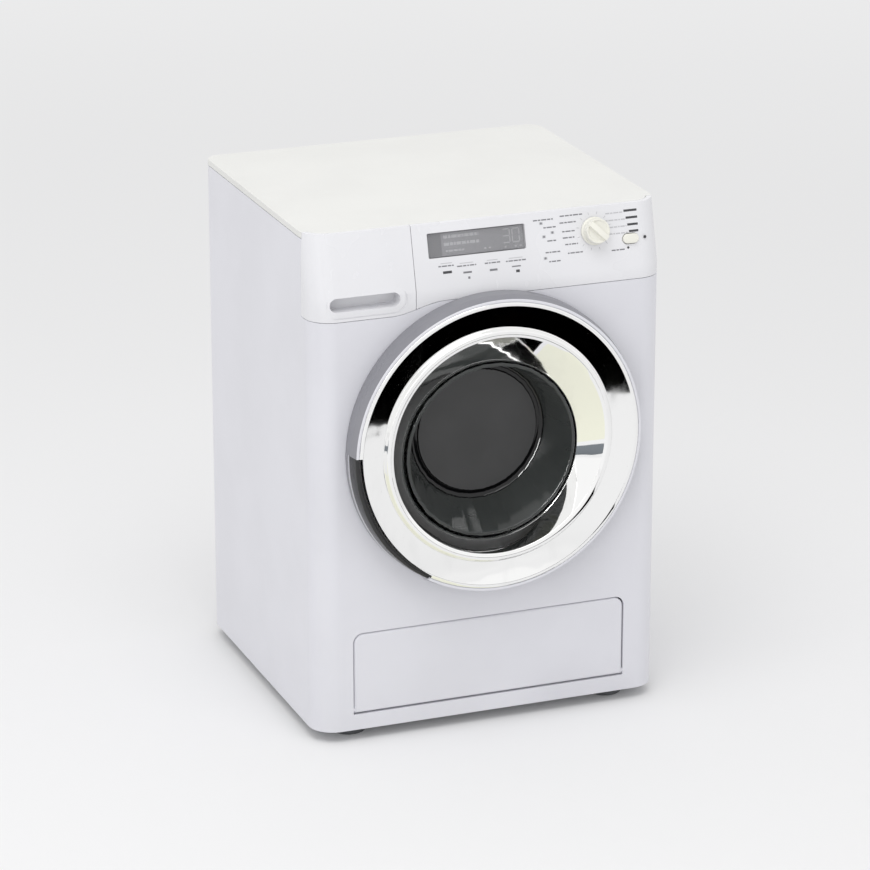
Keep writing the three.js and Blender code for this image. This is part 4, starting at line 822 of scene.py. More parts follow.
def makeDoorBack():
    outer, edge, rim = door["ring"], door["face"], door["rim"]
    back, front = frontY - gap, ringFront + 0.2 * mm
    plate, inner = back - rim, door["lip"] + door["funnelWall"] + 2 * gap
    shelf = ringFront + door["valleyDepth"] + door["skin"] + gap
    rows = [
        (outer, back, 0, 0.3),
        (outer, (frontY + ringFront) / 2 - mm, 0, 2.5),
        (edge, front, 0, 0.5),
        (edge - 1.25 * mm, front, 0, 0.25),
        (edge - rim, plate, 0, 0.2),
        (inner + rim, plate, 0, 0.2),
        (inner + rim, shelf, 0, 0.2),
        (inner, shelf, 0, 0.2),
        (inner, back, 0, 0.2),
    ]
    ring = turned("door_carrier", rounded(rows, steps=5), doorCentre, door["steps"])
    close, wide = door["knuckleHalf"]
    notch, knuckle, z = hingeX - door["notch"], door["knuckle"], doorCentre.z
    top = (outer + over, frontY + over, z + wide + gap)
    room = addBlock("notch", (notch, ringFront + 2.4 * mm, z - wide - gap), top)
    cut(ring, room, crescent("grip_room", 0.1 * mm, ringFront - over, frontY - door["gripBack"]))
    parts = [smoothed(ring, 35)]
    for low, high in ((z - wide, z - close), (z + close, z + wide)):
        start = (notch - door["arm"], hingeY - knuckle, low)
        arm = addBlock("hinge_arm", start, (hingeX, frontY - 2 * gap, high))
        weld(arm, addRod("knuckle", (hingeX, hingeY, low), (hingeX, hingeY, high), knuckle, 32))
        parts.append(smoothed(softened(arm, door["armEdge"], 2)))
    piece = painted(joined("door_carrier", parts), "white", "flank")
    # the channel's side outside its front edge gets the grey flank finish, partly painted shade
    repaint(piece, 1, lambda c, n: hypot(c.x, c.z - z) > edge + 0.05 * mm and c.y > front + 0.4 * mm)
    place(piece, "door", "door_back")


def makeDoorGrip():
    inside, back = door["ring"] - door["gripLining"], frontY - door["gripBack"] - 0.2 * mm
    rows = [
        (door["ring"] - 0.5 * mm, back, 0),
        (door["face"] - 0.3 * mm, ringFront + door["skin"], 0),
        (inside, ringFront + door["skin"] + 0.3 * mm, 0),
        (inside, back, 0),
    ]
    lining = turned("grip_lining", [*rows, rows[0]], doorCentre, door["steps"])
    combine(lining, "INTERSECT", crescent("keep", -0.2 * mm, ringFront - over, frontY + over))
    softened(lining, door["gripEdge"])
    place(painted(smoothed(lining, 40), "black"), "door", "door_grip")


# Smoked bowl: leaning cone, a flat floor and a cove round it, the cove painted near black as a painted dark
# reflection
bowl = {
    "rim": 44.9 * mm,
    "rimY": -78.1 * mm,
    "wall": 1.8 * mm,
    "floor": 31.6 * mm,
    "floorDrop": 1.2 * mm,
    "floorY": -57 * mm,
    "step": 0.9 * mm,
    "cove": 3.4 * mm,
}


def makeBowl():
    wall, floor, drop, rimDrop = bowl["wall"], bowl["floor"], bowl["floorDrop"], door["bowlDrop"]
    inside, outside, foot = bowl["floorY"] - wall, bowl["floorY"] + 0.3 * mm, floor + bowl["cove"]
    rows = [
        (speck, inside, drop, 0),
        (floor, inside, drop, 0.35),
        (floor + 0.3 * mm, inside + bowl["step"], drop, 0.3),
        (foot, inside + bowl["step"], drop, 4),
        (bowl["rim"] - wall, bowl["rimY"], rimDrop, 0.6),
        (bowl["rim"], bowl["rimY"] + 0.2 * mm, rimDrop, 0.6),
        (foot + wall, outside, drop, 3.4),
        (floor - mm, outside, drop, 0.8),
        (speck, outside, drop, 0),
    ]
    cup = turned("bowl_window", rounded(rows, steps=7, loop=False), doorCentre, door["steps"])
    painted(smoothed(cup, 38), "smoke", "smokeFloor", "smokeCoveDarkReflection")
    centre, edge = doorCentre.z - drop, floor - 0.2 * mm
    repaint(cup, 1, lambda c, n: hypot(c.x, c.z - centre) < edge and c.y < bowl["floorY"] - mm)
    # the cove round the floor gets the near-black finish: painted dark reflection
    repaint(cup, 2, lambda c, n: edge < hypot(c.x, c.z - centre) < foot + mm and n.y < -0.1
            and c.y < bowl["floorY"])
    place(cup, "door", "door_bowl")


makeDoorRing()
makeDoorBack()
makeDoorGrip()
makeBowl()
print("door done")


# Display: a clear lens over a grey card with paler segments
display = {
    "middle": inMm(-5.8, 20.6),             # across, and up from the bend
    "size": inMm(50.4, 11.6),
    "lens": 1.2 * mm,
    "lensEdge": 0.15 * mm,
    "cardBorder": 2 * mm,
    "cardEdge": 0.08 * mm,
    "cardDepth": inMm(2.7, 3.7),
    "line": 0.63 * mm,                      # stroke of the segments
    # left, right, height above the bend, stroke height
    "rows": inMm((-22.3, -3.9, 24.1, 1.5), (-22.3, -3.9, 20.6, 1.5), (-21.5, -12, 17.4, 0.9)),
    "strip": inMm(-27.1, 20.65, 7, 10.5),
    "digits": ((8.6 * mm, "1011011"), (13.6 * mm, "1110111")),     # left edge, lit segments
    "digitSize": inMm(3.6, 6.4),
    "digitLift": 18.4 * mm,
    "digitShare": 0.86,                     # how much of its bar a segment fills
    "icons": inMm((-28.8, 17.2), (-25.8, 17.2), (-1, 16.9), (1.4, 16.9), (9.6, 16.4), (15, 16.4),
                  (17.6, 16.4)),
    "icon": inMm(1.1, 0.7),
}
display["cardTop"] = display["lens"] + 2 * gap


# Marks and rows of word-like marks
words = {
    "high": 0.05 * mm,
    "deep": 0.1 * mm,
    "lengths": inMm(2.1, 1.3, 2.7, 1.7, 0.9, 2.3),
    "space": 0.45 * mm,
    "shortest": 0.3 * mm,
}


# A thin raised mark on the panel, or on the display card when it lies deeper
def mark(x, lift, width, height, out=0.0, turn=0.0):
    made = platform("mark", 0, 0, width / 2, height / 2, -out - words["high"], -out + words["deep"])
    made.rotation_euler = (0, turn, 0)
    return leaned(settle(made), x, lift)


# A row between two edges; the pattern of lengths repeats
def wordRow(left, right, lift, height, out=0.0, start=0):
    x, made, lengths = left, [], words["lengths"]
    while x < right - words["shortest"]:
        long = min(lengths[(start + len(made)) % len(lengths)], right - x)
        made.append(mark(x + long / 2, lift, long, height, out))
        x += long + words["space"]
    return made


# Seven-segment digit by its lit segments: top, upper left, upper right, middle, lower left, lower right, foot
def segments(left, lit):
    width, height = display["digitSize"]
    line, share, half = display["line"], display["digitShare"], height / 2
    spots = ((0.5, 2), (0, 1.5), (1, 1.5), (0.5, 1), (0, 0.5), (1, 0.5), (0.5, 0))
    made = []
    for (x, z), on in zip(spots, lit):
        long, tall = (width, line) if x == 0.5 else (line, half)
        if on == "1":
            spot = (left + x * width, display["digitLift"] + z * half)
            made.append(mark(*spot, long * share, tall * share, -display["cardTop"]))
    return made


def makeDisplay():
    width, height = display["size"]
    lens = leafPlate("display_window", width, height, gap, display["lens"] + gap, 0.6 * mm)
    softened(leaned(lens, *display["middle"]), display["lensEdge"], 2)
    place(painted(smoothed(lens), "lens"), "cabinet", "display_lens")

    top, (front, back), edge = display["cardTop"], display["cardDepth"], display["cardBorder"]
    plinth = leafPlate("plinth", width - gap, height - gap, top, front + 0.2 * mm, 0.5 * mm)
    card = leafPlate("display_board", width + 2 * edge, height + 2 * edge, front, back, 0.6 * mm)
    leaned(weld(card, plinth), *display["middle"])
    softened(card, display["cardEdge"], 1)
    place(painted(smoothed(card), "screen"), "cabinet", "display_card")

    pale = []
    for row, (left, right, z, tall) in enumerate(display["rows"]):
        pale += wordRow(left, right, z, tall, -top, row * 2)
    for left, lit in display["digits"]:
        pale += segments(left, lit)
    pale += [mark(*spot, *display["icon"], -top) for spot in display["icons"]]
    place(painted(joined("display_segments", pale), "screenPale"), "cabinet")
    strip = mark(*display["strip"], -top + 0.02 * mm)
    place(painted(joined("display_strip", [strip]), "screenDark"), "cabinet")


# Marks on the panel: printed columns of programme rows and icons, bars and ticks round the dial, and dark and
# grey marks under the options
printed = {
    "row": 0.62 * mm,                   # height of a row of small print
    "programRows": inMm(                # left, right, height: between display and dial
        (24.4, 35.5, 27.2), (29.5, 36, 23.4), (31, 35.6, 17), (29.5, 37.2, 11.6), (31, 37, 7.2),
        (38.6, 50.5, 28), (38.2, 46.8, 24.8), (39.2, 46, 20.6), (39.2, 45.6, 17.6), (40.2, 47, 14.4),
        (41.2, 49.6, 10.2),
    ),
    "icons": inMm((28.4, 25.6), (34, 20.8), (29.4, 19.2), (29.2, 9)),
    "icon": inMm(1.8, 1.4),
    "iconCore": inMm(0.9, 0.9, 0.03),   # size, and how far it stands out
    # right of the dial: left, start of the dark end, height
    "bars": inMm((62.8, 72.6, 27.4), (62.4, 73.4, 24), (63.6, 74, 20.7), (64, 74.6, 17.5)),
    "barEnd": 79.6 * mm,
    "bar": 1.1 * mm,
    "barGap": 0.5 * mm,
    # under the display: middle, height, width of the words, then the line over them
    "options": inMm((-22.6, 10.6, 8.4), (-12.2, 9.8, 10), (1.3, 9.8, 8), (13.6, 9.6, 10.4)),
    "optionLine": (1.3 * mm, 0.7, 0.6),         # rise, share of the width, share of the row's height
    # dark and grey marks under the option words, drawn flat on the panel
    "optionMarks": {
        "ink": inMm((-22.4, 7.6, 4.6, 1.25), (14.2, 4.6, 1.9, 1.3)),
        "inkGrey": inMm((-12, 6.6, 4.4, 0.9), (1.6, 6.4, 4, 1), (13.6, 6.9, 4.6, 0.6), (-11.4, 4, 1.1, 1.1)),
    },
    "startRow": inMm(64.5, 72, 9.2),
    "startMark": inMm(73.4, 9.8, 1.1, 1.1),
    "lamp": inMm(82.8, 14.1),
    "lampRadius": 0.75 * mm,
    "lampDepth": inMm(0.3, -0.35),
    "lampEdge": 0.15 * mm,
    "ticks": 12,
    "tick": inMm(1.3, 0.3),
    "tickRadius": 8.7 * mm,
}


def makePrinting():
    row, end = printed["row"], printed["barEnd"]
    inks = {"ink": [], "inkGrey": [], "inkPale": []}
    for i, (left, right, lift) in enumerate(printed["programRows"]):
        inks["inkGrey"] += wordRow(left, right, lift, row, start=i)
    for spot in printed["icons"]:
        inks["inkPale"].append(mark(*spot, *printed["icon"]))
        inks["inkGrey"].append(mark(*spot, *printed["iconCore"], pi / 4))
    for i, (left, dark, lift) in enumerate(printed["bars"]):
        inks["inkPale"] += wordRow(left, dark - printed["barGap"], lift - printed["barGap"], row, start=i)
        inks["ink"].append(mark((dark + end) / 2, lift, end - dark, printed["bar"]))
    rise, across, high = printed["optionLine"]
    for i, (x, lift, width) in enumerate(printed["options"]):
        inks["inkGrey"] += wordRow(x - width / 2, x + width / 2, lift, row, start=i + 1)
        inks["inkPale"].append(mark(x, lift + rise, width * across, row * high))
    for ink, spots in printed["optionMarks"].items():
        inks[ink] += [mark(*spot) for spot in spots]
    inks["inkGrey"] += wordRow(*printed["startRow"], row)
    inks["ink"].append(mark(*printed["startMark"], turn=pi / 4))
    (x, lift), reach = panel["dial"], printed["tickRadius"]
    for i in range(printed["ticks"]):
        angle = 2 * pi * (i + 0.5) / printed["ticks"]
        spot = (x + reach * cos(angle), lift + reach * sin(angle))
        inks["inkPale"].append(mark(*spot, *printed["tick"], turn=-angle))
    for ink, marks in inks.items():
        place(painted(joined("panel_print_" + ink.lower(), marks), ink), "cabinet")
    start, end = ((0, y, 0) for y in printed["lampDepth"])
    lamp = addRod("indicator_lamp", start, end, printed["lampRadius"], 24)
    softened(leaned(lamp, *printed["lamp"]), printed["lampEdge"], 2)
    place(painted(smoothed(lamp), "dark"), "cabinet")


# Programme dial: a skirt, a knob with fluted flank and a grip bar across its face
dial = {
    "skirt": 7 * mm,
    "skirtHeight": 1.6 * mm,
    "knob": 6.3 * mm,
    "height": 6 * mm,
    "dish": 0.5 * mm,
    "bar": inMm(2.6, 1.4),              # width, height over the face
    "turn": radians(-45),
    "shaft": 2.2 * mm,
    "depth": 8 * mm,
    "flutes": 24,
    "flute": 0.32 * mm,
    "edge": 0.22 * mm,
}


def makeDial():
    height, skirt, knob, skirtHeight = dial["height"], dial["skirt"], dial["knob"], dial["skirtHeight"]
    face = dial["dish"] - height
    rows = [
        (speck, face, 0, 0),
        (knob - 1.6 * mm, face, 0, 0.6),
        (knob - 0.9 * mm, -height, 0, 0.5),
        (knob - 0.2 * mm, -height, 0, 0.5),
        (knob, -skirtHeight, 0, 0.5),
        (skirt, -skirtHeight + 0.3 * mm, 0, 0.4),
        (skirt, -gap, 0, 0.2),
        (speck, -gap, 0, 0),
    ]
    piece = turned("program_knob", rounded(rows, steps=5, loop=False), Vector((0, 0, 0)), 120)
    (width, rise), reach = dial["bar"], knob - 0.5 * mm
    bar = platform("bar", 0, 0, width / 2, reach, -height - rise, -height + 2 * dial["dish"])
    bar.rotation_euler = (0, dial["turn"], 0)
    weld(piece, settle(bar), addRod("shaft", (0, -mm, 0), (0, dial["depth"], 0), dial["shaft"], 40))
    for i in range(dial["flutes"]):
        angle = 2 * pi * i / dial["flutes"]
        x, z = (knob + 0.1 * mm) * cos(angle), (knob + 0.1 * mm) * sin(angle)
        cut(piece, addRod("flute", (x, -height - mm, z), (x, -skirtHeight - 0.4 * mm, z), dial["flute"], 10))
    softened(leaned(piece, *panel["dial"]), dial["edge"], 2, 40)
    place(painted(smoothed(piece, 40), "dial"), "dial", "program_dial")


# Start button: an oval key with a flange behind the panel
key = {"cap": inMm(-1.4, 3.3), "flange": inMm(2.8, 3.8), "wider": 2.6 * mm, "edge": 0.5 * mm}


def makeStart():
    x, lift, width, height = panel["start"]
    cap = leafPlate("start_key", width, height, *key["cap"], height)
    weld(cap, leafPlate("flange", width + key["wider"], height + key["wider"], *key["flange"], height))
    softened(leaned(cap, x, lift), key["edge"], 4)
    place(painted(smoothed(cap), "dial"), "start", "start_button")


makeDisplay()
makePrinting()
makeDial()
makeStart()
print("display, printing, dial and start button done")


# Inside the door: rubber seal with a fold, tub with its neck and stiffening rings, perforated drum
inside = {
    "seal": inMm(58, 65.7, -76.3, -68.3),       # lip radius, outer radius, front, back
    "sleeve": inMm(62.3, -73.8),
    "fold": inMm(60, 63.8, 1.1),                # from, to, depth
    "mouth": 60 * mm,
    "neckY": -73.5 * mm,
    "tubFrontY": -68 * mm,
    "tubWall": 2 * mm,
    "bushHole": 7.3 * mm,
    "rings": 4,
    "ring": inMm(3, 0.6),                       # width and depth of a stiffening groove
    "chute": inMm(-48.4, -30, 5.5),
    "drain": inMm(42, 4),
}


def makeSeal():
    lip, outer, front, back = inside["seal"]
    sleeve, shelf = inside["sleeve"]
    low, high, deep = inside["fold"]
    rows = [
        (lip, front, 0, 0.9), (low, front, 0, 0.5), (low + 0.7 * mm, front + deep, 0, 0.5),
        (high - 0.7 * mm, front + deep, 0, 0.5), (high, front, 0, 0.5), (outer, front, 0, 0.7),
        (outer, back, 0, 0.4), (sleeve, back, 0, 0.3), (sleeve, shelf, 0, 0.3),
        (lip, shelf, 0, 0.9),
    ]
    ring = turned("seal_bellows", rounded(rows), doorCentre)
    place(painted(smoothed(ring, 40), "seal"), "cabinet", "door_seal")


def makeTub():
    outer, rear, wall = tubHigh.x, tubHigh.y, inside["tubWall"]
    mouth, neck, front = inside["mouth"], inside["neckY"], inside["tubFrontY"]
    width, deep = inside["ring"]
    rows = [
        (mouth, neck, 0, 0.4), (mouth + wall, neck, 0, 0.4), (mouth + wall, front, 0, 1.2),
        (outer, front, 0, 4),
    ]
    for i in range(1, inside["rings"] + 1):
        y = front + (rear - front) / (inside["rings"] + 1) * i
        rows += [(outer, y - width, 0, 0.5), (outer - deep, y - width / 2, 0, 0.5),
                 (outer - deep, y + width / 2, 0, 0.5), (outer, y + width, 0, 0.5)]
    hole = inside["bushHole"]
    rows += [
        (outer, rear, 0, 3), (hole, rear, 0, 0.3), (hole, rear - wall, 0, 0.3),
        (outer - wall, rear - wall, 0, 1.6), (outer - wall, front + wall, 0, 2.6),
        (mouth, front + wall, 0, 0.8),
    ]
    can = turned("water_tub", rounded(rows), doorCentre, 144)
    x, y, bore = inside["chute"]
    cut(can, addRod("chute_hole", (x, y, doorCentre.z), (x, y, cabinet["top"]), bore, 40))
    (x, bore), z = inside["drain"], middleOfNode("drain_spout").z
    cut(can, addRod("drain_hole", (x, rear - 8 * mm, z), (x, rear + 8 * mm, z), bore, 40))
    place(painted(smoothed(can, 35), "grey"), "cabinet", "tub")


drum = {
    "mouth": 57.5 * mm,
    "lip": 5 * mm,              # flat rim about the mouth
    "front": drumLow.y,
    "back": 34 * mm,
    "wall": 1.6 * mm,
    "hub": 8 * mm,
    "bore": 3.25 * mm,
    "sheet": 1.2 * mm,          # perforated part
    "columns": 66,
    "rows": 12,
    "hole": 1.9 * mm,
    "band": inMm(8, 5),         # plain bands at the mouth and at the back
    "lap": 0.4 * mm,            # of the bands over the perforated part
    "emboss": inMm((14, 22), (30, 44)),
    "embossDepth": 1.2 * mm,
    "embossSlope": 2 * mm,
    "lifterFoot": 66.6 * mm,    # from the axis
    "lifterHeight": 10 * mm,
    "lifterBase": 16 * mm,
    "lifterTop": 4.5 * mm,
    "lifterTaper": 0.96,        # length of the crest as a share of the foot
    "lifterEnds": inMm(-57.4, 28.4),
    "lifterEdge": 1.3 * mm,
    "lifterHoles": 5,
    "lifterHole": inMm(4, 1.3),     # height over the foot, radius
}


# Wall of the drum: a grid of columns and rows whose inner corners become round holes
def perforatedWall():
    low, high = drum["front"] + drum["band"][0], drum["back"] - drum["band"][1]
    pitch, turn = (high - low) / drum["rows"], 2 * pi / drum["columns"]
    radius = drumHigh.x - (drum["wall"] - drum["sheet"]) / 2
    rows = [(radius, low + pitch * i, 0) for i in range(drum["rows"] + 1)]
    wall = turned("perforated_wall", rows, doorCentre, drum["columns"], closed=False)
    pickPoints(wall, lambda p: low + mm < p.y < high - mm)
    bpy.ops.mesh.bevel(offset=drum["hole"], segments=2, affect="VERTICES")
    leaveEdit()

    # Each bevelled corner is four faces about the corner itself; 0.3 of the pitch takes them and no more
    def onHole(centre, normal):
        column, row = atan2(centre.x, centre.z - doorCentre.z) / turn, (centre.y - low) / pitch
        inner = 0.5 < row < drum["rows"] - 0.5
        return inner and abs(row - round(row)) < 0.3 and abs(column - round(column)) < 0.3

    pickFaces(wall, onHole)
    bpy.ops.mesh.delete(type="FACE")
    leaveEdit()
    return modify(wall, "SOLIDIFY", thickness=drum["sheet"], offset=-1)


def makeDrum():
    wall, outer, front, back = drum["wall"], drumHigh.x, drum["front"], drum["back"]
    bandEnd, bandStart = front + drum["band"][0] + drum["lap"], back - drum["band"][1] - drum["lap"]
    lip, flat = drum["mouth"], front + 0.2 * mm
    rows = [
        (lip, flat, 0, 0.8), (lip + drum["lip"], flat, 0, 1.5), (outer, front, 0, 2.4),
        (outer, bandEnd, 0, 0.2), (outer - wall, bandEnd, 0, 0.2),
        (outer - wall, front + wall, 0, 1.4), (lip, front + wall, 0, 0.7),
    ]
    mouth = turned("drum_mouth", rounded(rows, steps=5), doorCentre, 132)

    # Outline of a face of the end wall from the hub outwards
    def embossed(y):
        made, slope, deep = [], drum["embossSlope"], y - drum["embossDepth"]
        for low, high in drum["emboss"]:
            outline = ((low, y), (low + slope, deep), (high - slope, deep), (high, y))
            made += [(radius, height, 0, 1.5) for radius, height in outline]
        return made

    inner = back - wall
    rows = [(outer, bandStart, 0, 0.2), (outer, back, 0, 2.2), *reversed(embossed(back))]
    rows += [(drum["hub"], back, 0, 0.6), (drum["hub"], drumHigh.y, 0, 0.6),
             (drum["bore"], drumHigh.y, 0, 0.3), (drum["bore"], inner, 0, 0.3), *embossed(inner),
             (outer - wall, inner, 0, 1.6), (outer - wall, bandStart, 0, 0.2)]
    rear = turned("drum_rear", rounded(rows), doorCentre, 132)
    basket = joined("drum_basket", [smoothed(part, 35) for part in (perforatedWall(), mouth, rear)])
    place(painted(basket, "drum"), "drum", "drum_shell")


# A rib with rounded crest and a line of drain holes along it
def makeLifters():
    foot = doorCentre.z - drum["lifterFoot"]
    y0, y1 = drum["lifterEnds"]
    half, height = drum["lifterBase"] / 2, drum["lifterHeight"]
    rib = addBlock("lifter_rib", (-half, y0, foot), (half, y1, foot + height))
    pickPoints(rib, lambda p: p.z > foot + mm)
    share = (drum["lifterTop"] / drum["lifterBase"], drum["lifterTaper"], 1)
    bpy.ops.transform.resize(value=share, center_override=(0, (y0 + y1) / 2, foot))
    leaveEdit()
    rise, bore = drum["lifterHole"]
    for i in range(drum["lifterHoles"]):
        y = y0 + (y1 - y0) * (i + 1) / (drum["lifterHoles"] + 1)
        cut(rib, addRod("drain_hole", (-half, y, foot + rise), (half, y, foot + rise), bore, 20))
    painted(smoothed(softened(rib, drum["lifterEdge"], 4, 25), 40), "grey")
    for i in range(3):
        one = copyOf(rib, f"lifter_{i + 1}")
        if i:
            editWhole(one)
            bpy.ops.transform.rotate(value=2 * pi * i / 3, orient_axis="Y", center_override=doorCentre)
            leaveEdit()
        place(one, "drum", nearestNode(one, ("drum_lifter_1", "drum_lifter_2", "drum_lifter_3")))
    bpy.data.objects.remove(rib)


def nearestNode(piece, names):
    points = [point.co for point in piece.data.vertices]
    middle = Vector([(min(p[k] for p in points) + max(p[k] for p in points)) / 2 for k in range(3)])
    return min(names, key=lambda name: (middleOfNode(name) - middle).length)


# Latch hook, hinge pin, feet
hook = {"half": inMm(1.2, 4), "reach": 7 * mm, "nose": 1.35 * mm, "foot": 0.15 * mm, "edge": 0.3 * mm}


def makeLatch():
    half, tall = hook["half"]
    y, z = frontY + hook["reach"] - half, doorCentre.z
    left, right = latchX - half, latchX + half
    tongue = addBlock("latch_hook", (left, frontY - hook["foot"], z - tall), (right, y, z + tall))
    weld(tongue, addRod("nose", (latchX, y, z - tall), (latchX, y, z + tall), hook["nose"], 32))
    softened(tongue, hook["edge"], 3, 35)
    place(painted(smoothed(tongue, 40), "white"), "door", "door_latch")


def makeHingePin():
    low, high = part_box("hinge_pin")
    middle = (low + high) / 2
    ends = [(middle.x, middle.y, z) for z in (low.z, high.z)]
    pin = addRod("hinge_rod", *ends, (high.x - low.x) / 2, 32)
    softened(pin, 0.35 * mm, 3, 40)
    place(painted(smoothed(pin, 40), "steel"), "door", "hinge_pin")


foot = {
    "radius": 9 * mm,
    "taper": inMm(0.4, 1),              # the pad is this much narrower at the floor and higher up
    "height": 5.7 * mm,
    "waist": 2.2 * mm,                  # height of the full width under the cabinet
    "peg": 4 * mm,
    "top": 9 * mm,
    "edge": 0.5 * mm,
    "tread": inMm(5.2, 3.6, 0.9),       # groove in the sole: outer radius, inner radius, depth
}


def makeFeet():
    radius, height, top = foot["radius"], foot["height"], foot["top"]
    outer, inner, deep = foot["tread"]
    wide, slim = foot["taper"]
    pad = addRod("foot_pad", (0, 0, 0), (0, 0, height), radius - wide, 64, radius - slim)
    weld(pad, addRod("waist", (0, 0, height - foot["waist"]), (0, 0, height), radius, 64),
         addRod("peg", (0, 0, height - mm), (0, 0, top), foot["peg"], 40))
    groove = addRod("groove", (0, 0, -mm), (0, 0, deep), outer, 64)
    cut(pad, cut(groove, addRod("core", (0, 0, -2 * mm), (0, 0, 2 * deep), inner, 64)))
    softened(pad, foot["edge"], 4, 40)
    painted(smoothed(pad, 40), "rubber")
    for side in ("front_left", "front_right", "rear_left", "rear_right"):
        x, y, z = middleOfNode("foot_" + side)
        place(copyOf(pad, "rubber_foot_" + side, (x, y, 0)), "cabinet", "foot_" + side)
    bpy.data.objects.remove(pad)


# Detergent drawer's tray: three compartments with rounded corners, the dividers lower than its outer wall
tray = {"wall": 1.3 * mm, "dividers": 2, "dividerHeight": 17.3 * mm, "corner": 2.4 * mm, "edge": 0.3 * mm}


def makeTray():
    low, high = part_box("drawer_tray")
    wall, corner, above = tray["wall"], tray["corner"], high.z + over
    body = addBlock("drawer_tray_body", low, high)
    roundEdges(body, corner, 6, lambda a, b: alongZ(a, b) and a.y > high.y - mm)
    count = tray["dividers"] + 1
    width = (high.x - low.x - wall * (count + 1)) / count
    for i in range(count):
        x = low.x + wall + i * (width + wall)
        room = addBlock("room", (x, low.y + wall, low.z + wall), (x + width, high.y - wall, above))
        cut(body, roundEdges(room, corner, 6, alongZ))
    start = (low.x + wall, low.y + wall, low.z + tray["dividerHeight"])
    cut(body, addBlock("lowered", start, (high.x - wall, high.y - wall, above)))
    softened(body, tray["edge"], 2, 35)
    place(painted(smoothed(body, 40), "white"), "drawer", "drawer_tray")


makeSeal()
makeTub()
makeDrum()
makeLifters()
makeLatch()
makeHingePin()
makeFeet()
makeTray()
print("seal, tub, drum, latch, hinge pin, feet and drawer tray done")


# Rear cover: plate with rounded sides, moulded border, sound slots, switch slot, drain pocket, battery bay
cover = {
    "front": 86.5 * mm,
    "low": coverLow.z,
    "high": coverHigh.z,
    "lip": inMm(2.8, 5, 82.5, 9.6),             # inset, width, front end, lower end
    "battery": inMm(25.95, 11.25, 81.4, 3.5),   # half width, low, high, corner
    "drain": inMm(42, 95, 11, 84.5, 2, 6.3),    # x, z, radius, seat, wall, hole for the spout
    "grille": inMm(-40, 205, 15.6, 6, 2.4),     # x, z, reach, pitch, width of a slot
    "slots": 5,
    "power": inMm(42, 205, 5.3, 2.5),           # x, z, half width, half height
    "seat": inMm(3.3, 1.9, 1.8),                # radius, depth, shank hole
    "border": inMm(7, 1.2, 0.5, 6),             # inset, width, depth, corner of the moulded line
    "borderSides": 5 * mm,                      # further in at the sides
    "clear": inMm(12, 42, 230),                 # no line about the screws: half width, low, high
    "boss": 5.3 * mm,
    "edge": 0.35 * mm,
    "doorEdge": 0.4 * mm,
    "grooves": 4,                               # on the battery cover
    "groove": inMm(20, 2.6, 13, 0.55, 0.7),     # lowest, pitch, half width, half height, depth
}
coverScrews = [f"cover_screw_{level}_{side}" for level in ("low", "high") for side in ("left", "right")]


def slotPlate(name, x, z, halfWidth, halfHeight, front, back):
    plate = platform(name, x, z, halfWidth, halfHeight, front, back)
    return roundEdges(plate, min(halfWidth, halfHeight) * 0.98, 8, alongY)


def screwSeat(node):
    radius, deep, hole = cover["seat"]
    x, y, z = middleOfNode(node)
    seat = addRod("seat", (x, rearY - deep, z), (x, rearY + 2 * mm, z), radius)
    return weld(seat, addRod("shank_hole", (x, cover["front"] - 8 * mm, z), (x, rearY, z), hole, 24))


def batteryPlate(name, grow, front, back):
    half, low, high, corner = cover["battery"]
    plate = addBlock(name, (-half - grow, front, low - grow), (half + grow, back, high + grow))
    return roundEdges(plate, corner, 8, alongY)


# A thin line round the cover, open about the screws
def borderLine():
    inset, width, deep, corner = cover["border"]
    z, halfZ = (cover["high"] + cover["low"]) / 2, (cover["high"] - cover["low"]) / 2 - inset
    halfX, front, back = cabinet["halfWidth"] - inset - cover["borderSides"], rearY - deep, rearY + mm
    line = roundEdges(platform("line", 0, z, halfX, halfZ, front, back), corner, 8, alongY)
    room = platform("room", 0, z, halfX - width, halfZ - width, front - mm, back + mm)
    cut(line, roundEdges(room, corner - width, 8, alongY))
    half, low, high = cover["clear"]
    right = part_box("cover_screw_low_right")[0].x
    for x in (-right, right):
        for start, end in ((0, low), (high, far)):
            cut(line, addBlock("clear", (x - half, rearY - over, start), (x + half, rearY + over, end)))
    return line


def makeRearCover():
    front = cover["front"]
    plate = cabinetBlock("back_cover", 0, cover["low"], cover["high"])
    cut(plate, addBlock("ahead", (-far, -far, -far), (far, front, far)))
    inset, width, deep, low = cover["lip"]
    lip = cabinetBlock("lip", inset, low, cover["high"] - gap)
    side = cabinet["halfWidth"] - inset - width
    cut(lip, addBlock("ahead", (-far, -far, -far), (far, deep, far)),
        addBlock("middle", (-side, -far, -far), (side, far, far)),
        addBlock("rear", (-far, front + mm, -far), (far, far, far)))
    weld(plate, lip)
    x, z, radius, seat, wall, hole = cover["drain"]
    weld(plate, addRod("pocket", (x, seat - wall, z), (x, rearY - mm, z), radius + wall, 64))
    cut(plate, addRod("sink", (x, seat, z), (x, rearY + mm, z), radius, 64),
        addRod("spout_hole", (x, seat - over, z), (x, rearY, z), hole),
        batteryPlate("bay", gap, front - 8 * mm, rearY + mm), borderLine())
    x, z, reach, pitch, slot = cover["grille"]
    for i in range(cover["slots"]):
        rise = (i - (cover["slots"] - 1) / 2) * pitch
        half = sqrt(reach ** 2 - rise ** 2)
        cut(plate, slotPlate("sound_slot", x, z + rise, half, slot / 2, front - 3 * mm, rearY + mm))
    cut(plate, platform("switch_slot", *cover["power"], front - mm, rearY + mm))
    for node in coverScrews:
        (x, y, z), boss = middleOfNode(node), cover["boss"]
        inner, outer = sorted((x - boss * (1 if x > 0 else -1), x * 2))
        room = addBlock("boss_room", (inner, front - over, z - boss), (outer, front, z + boss))
        cut(plate, room, screwSeat(node))
    softened(plate, cover["edge"], 3, 40)
    place(painted(evened(plate, 38), "white"), "cabinet", "rear_cover")


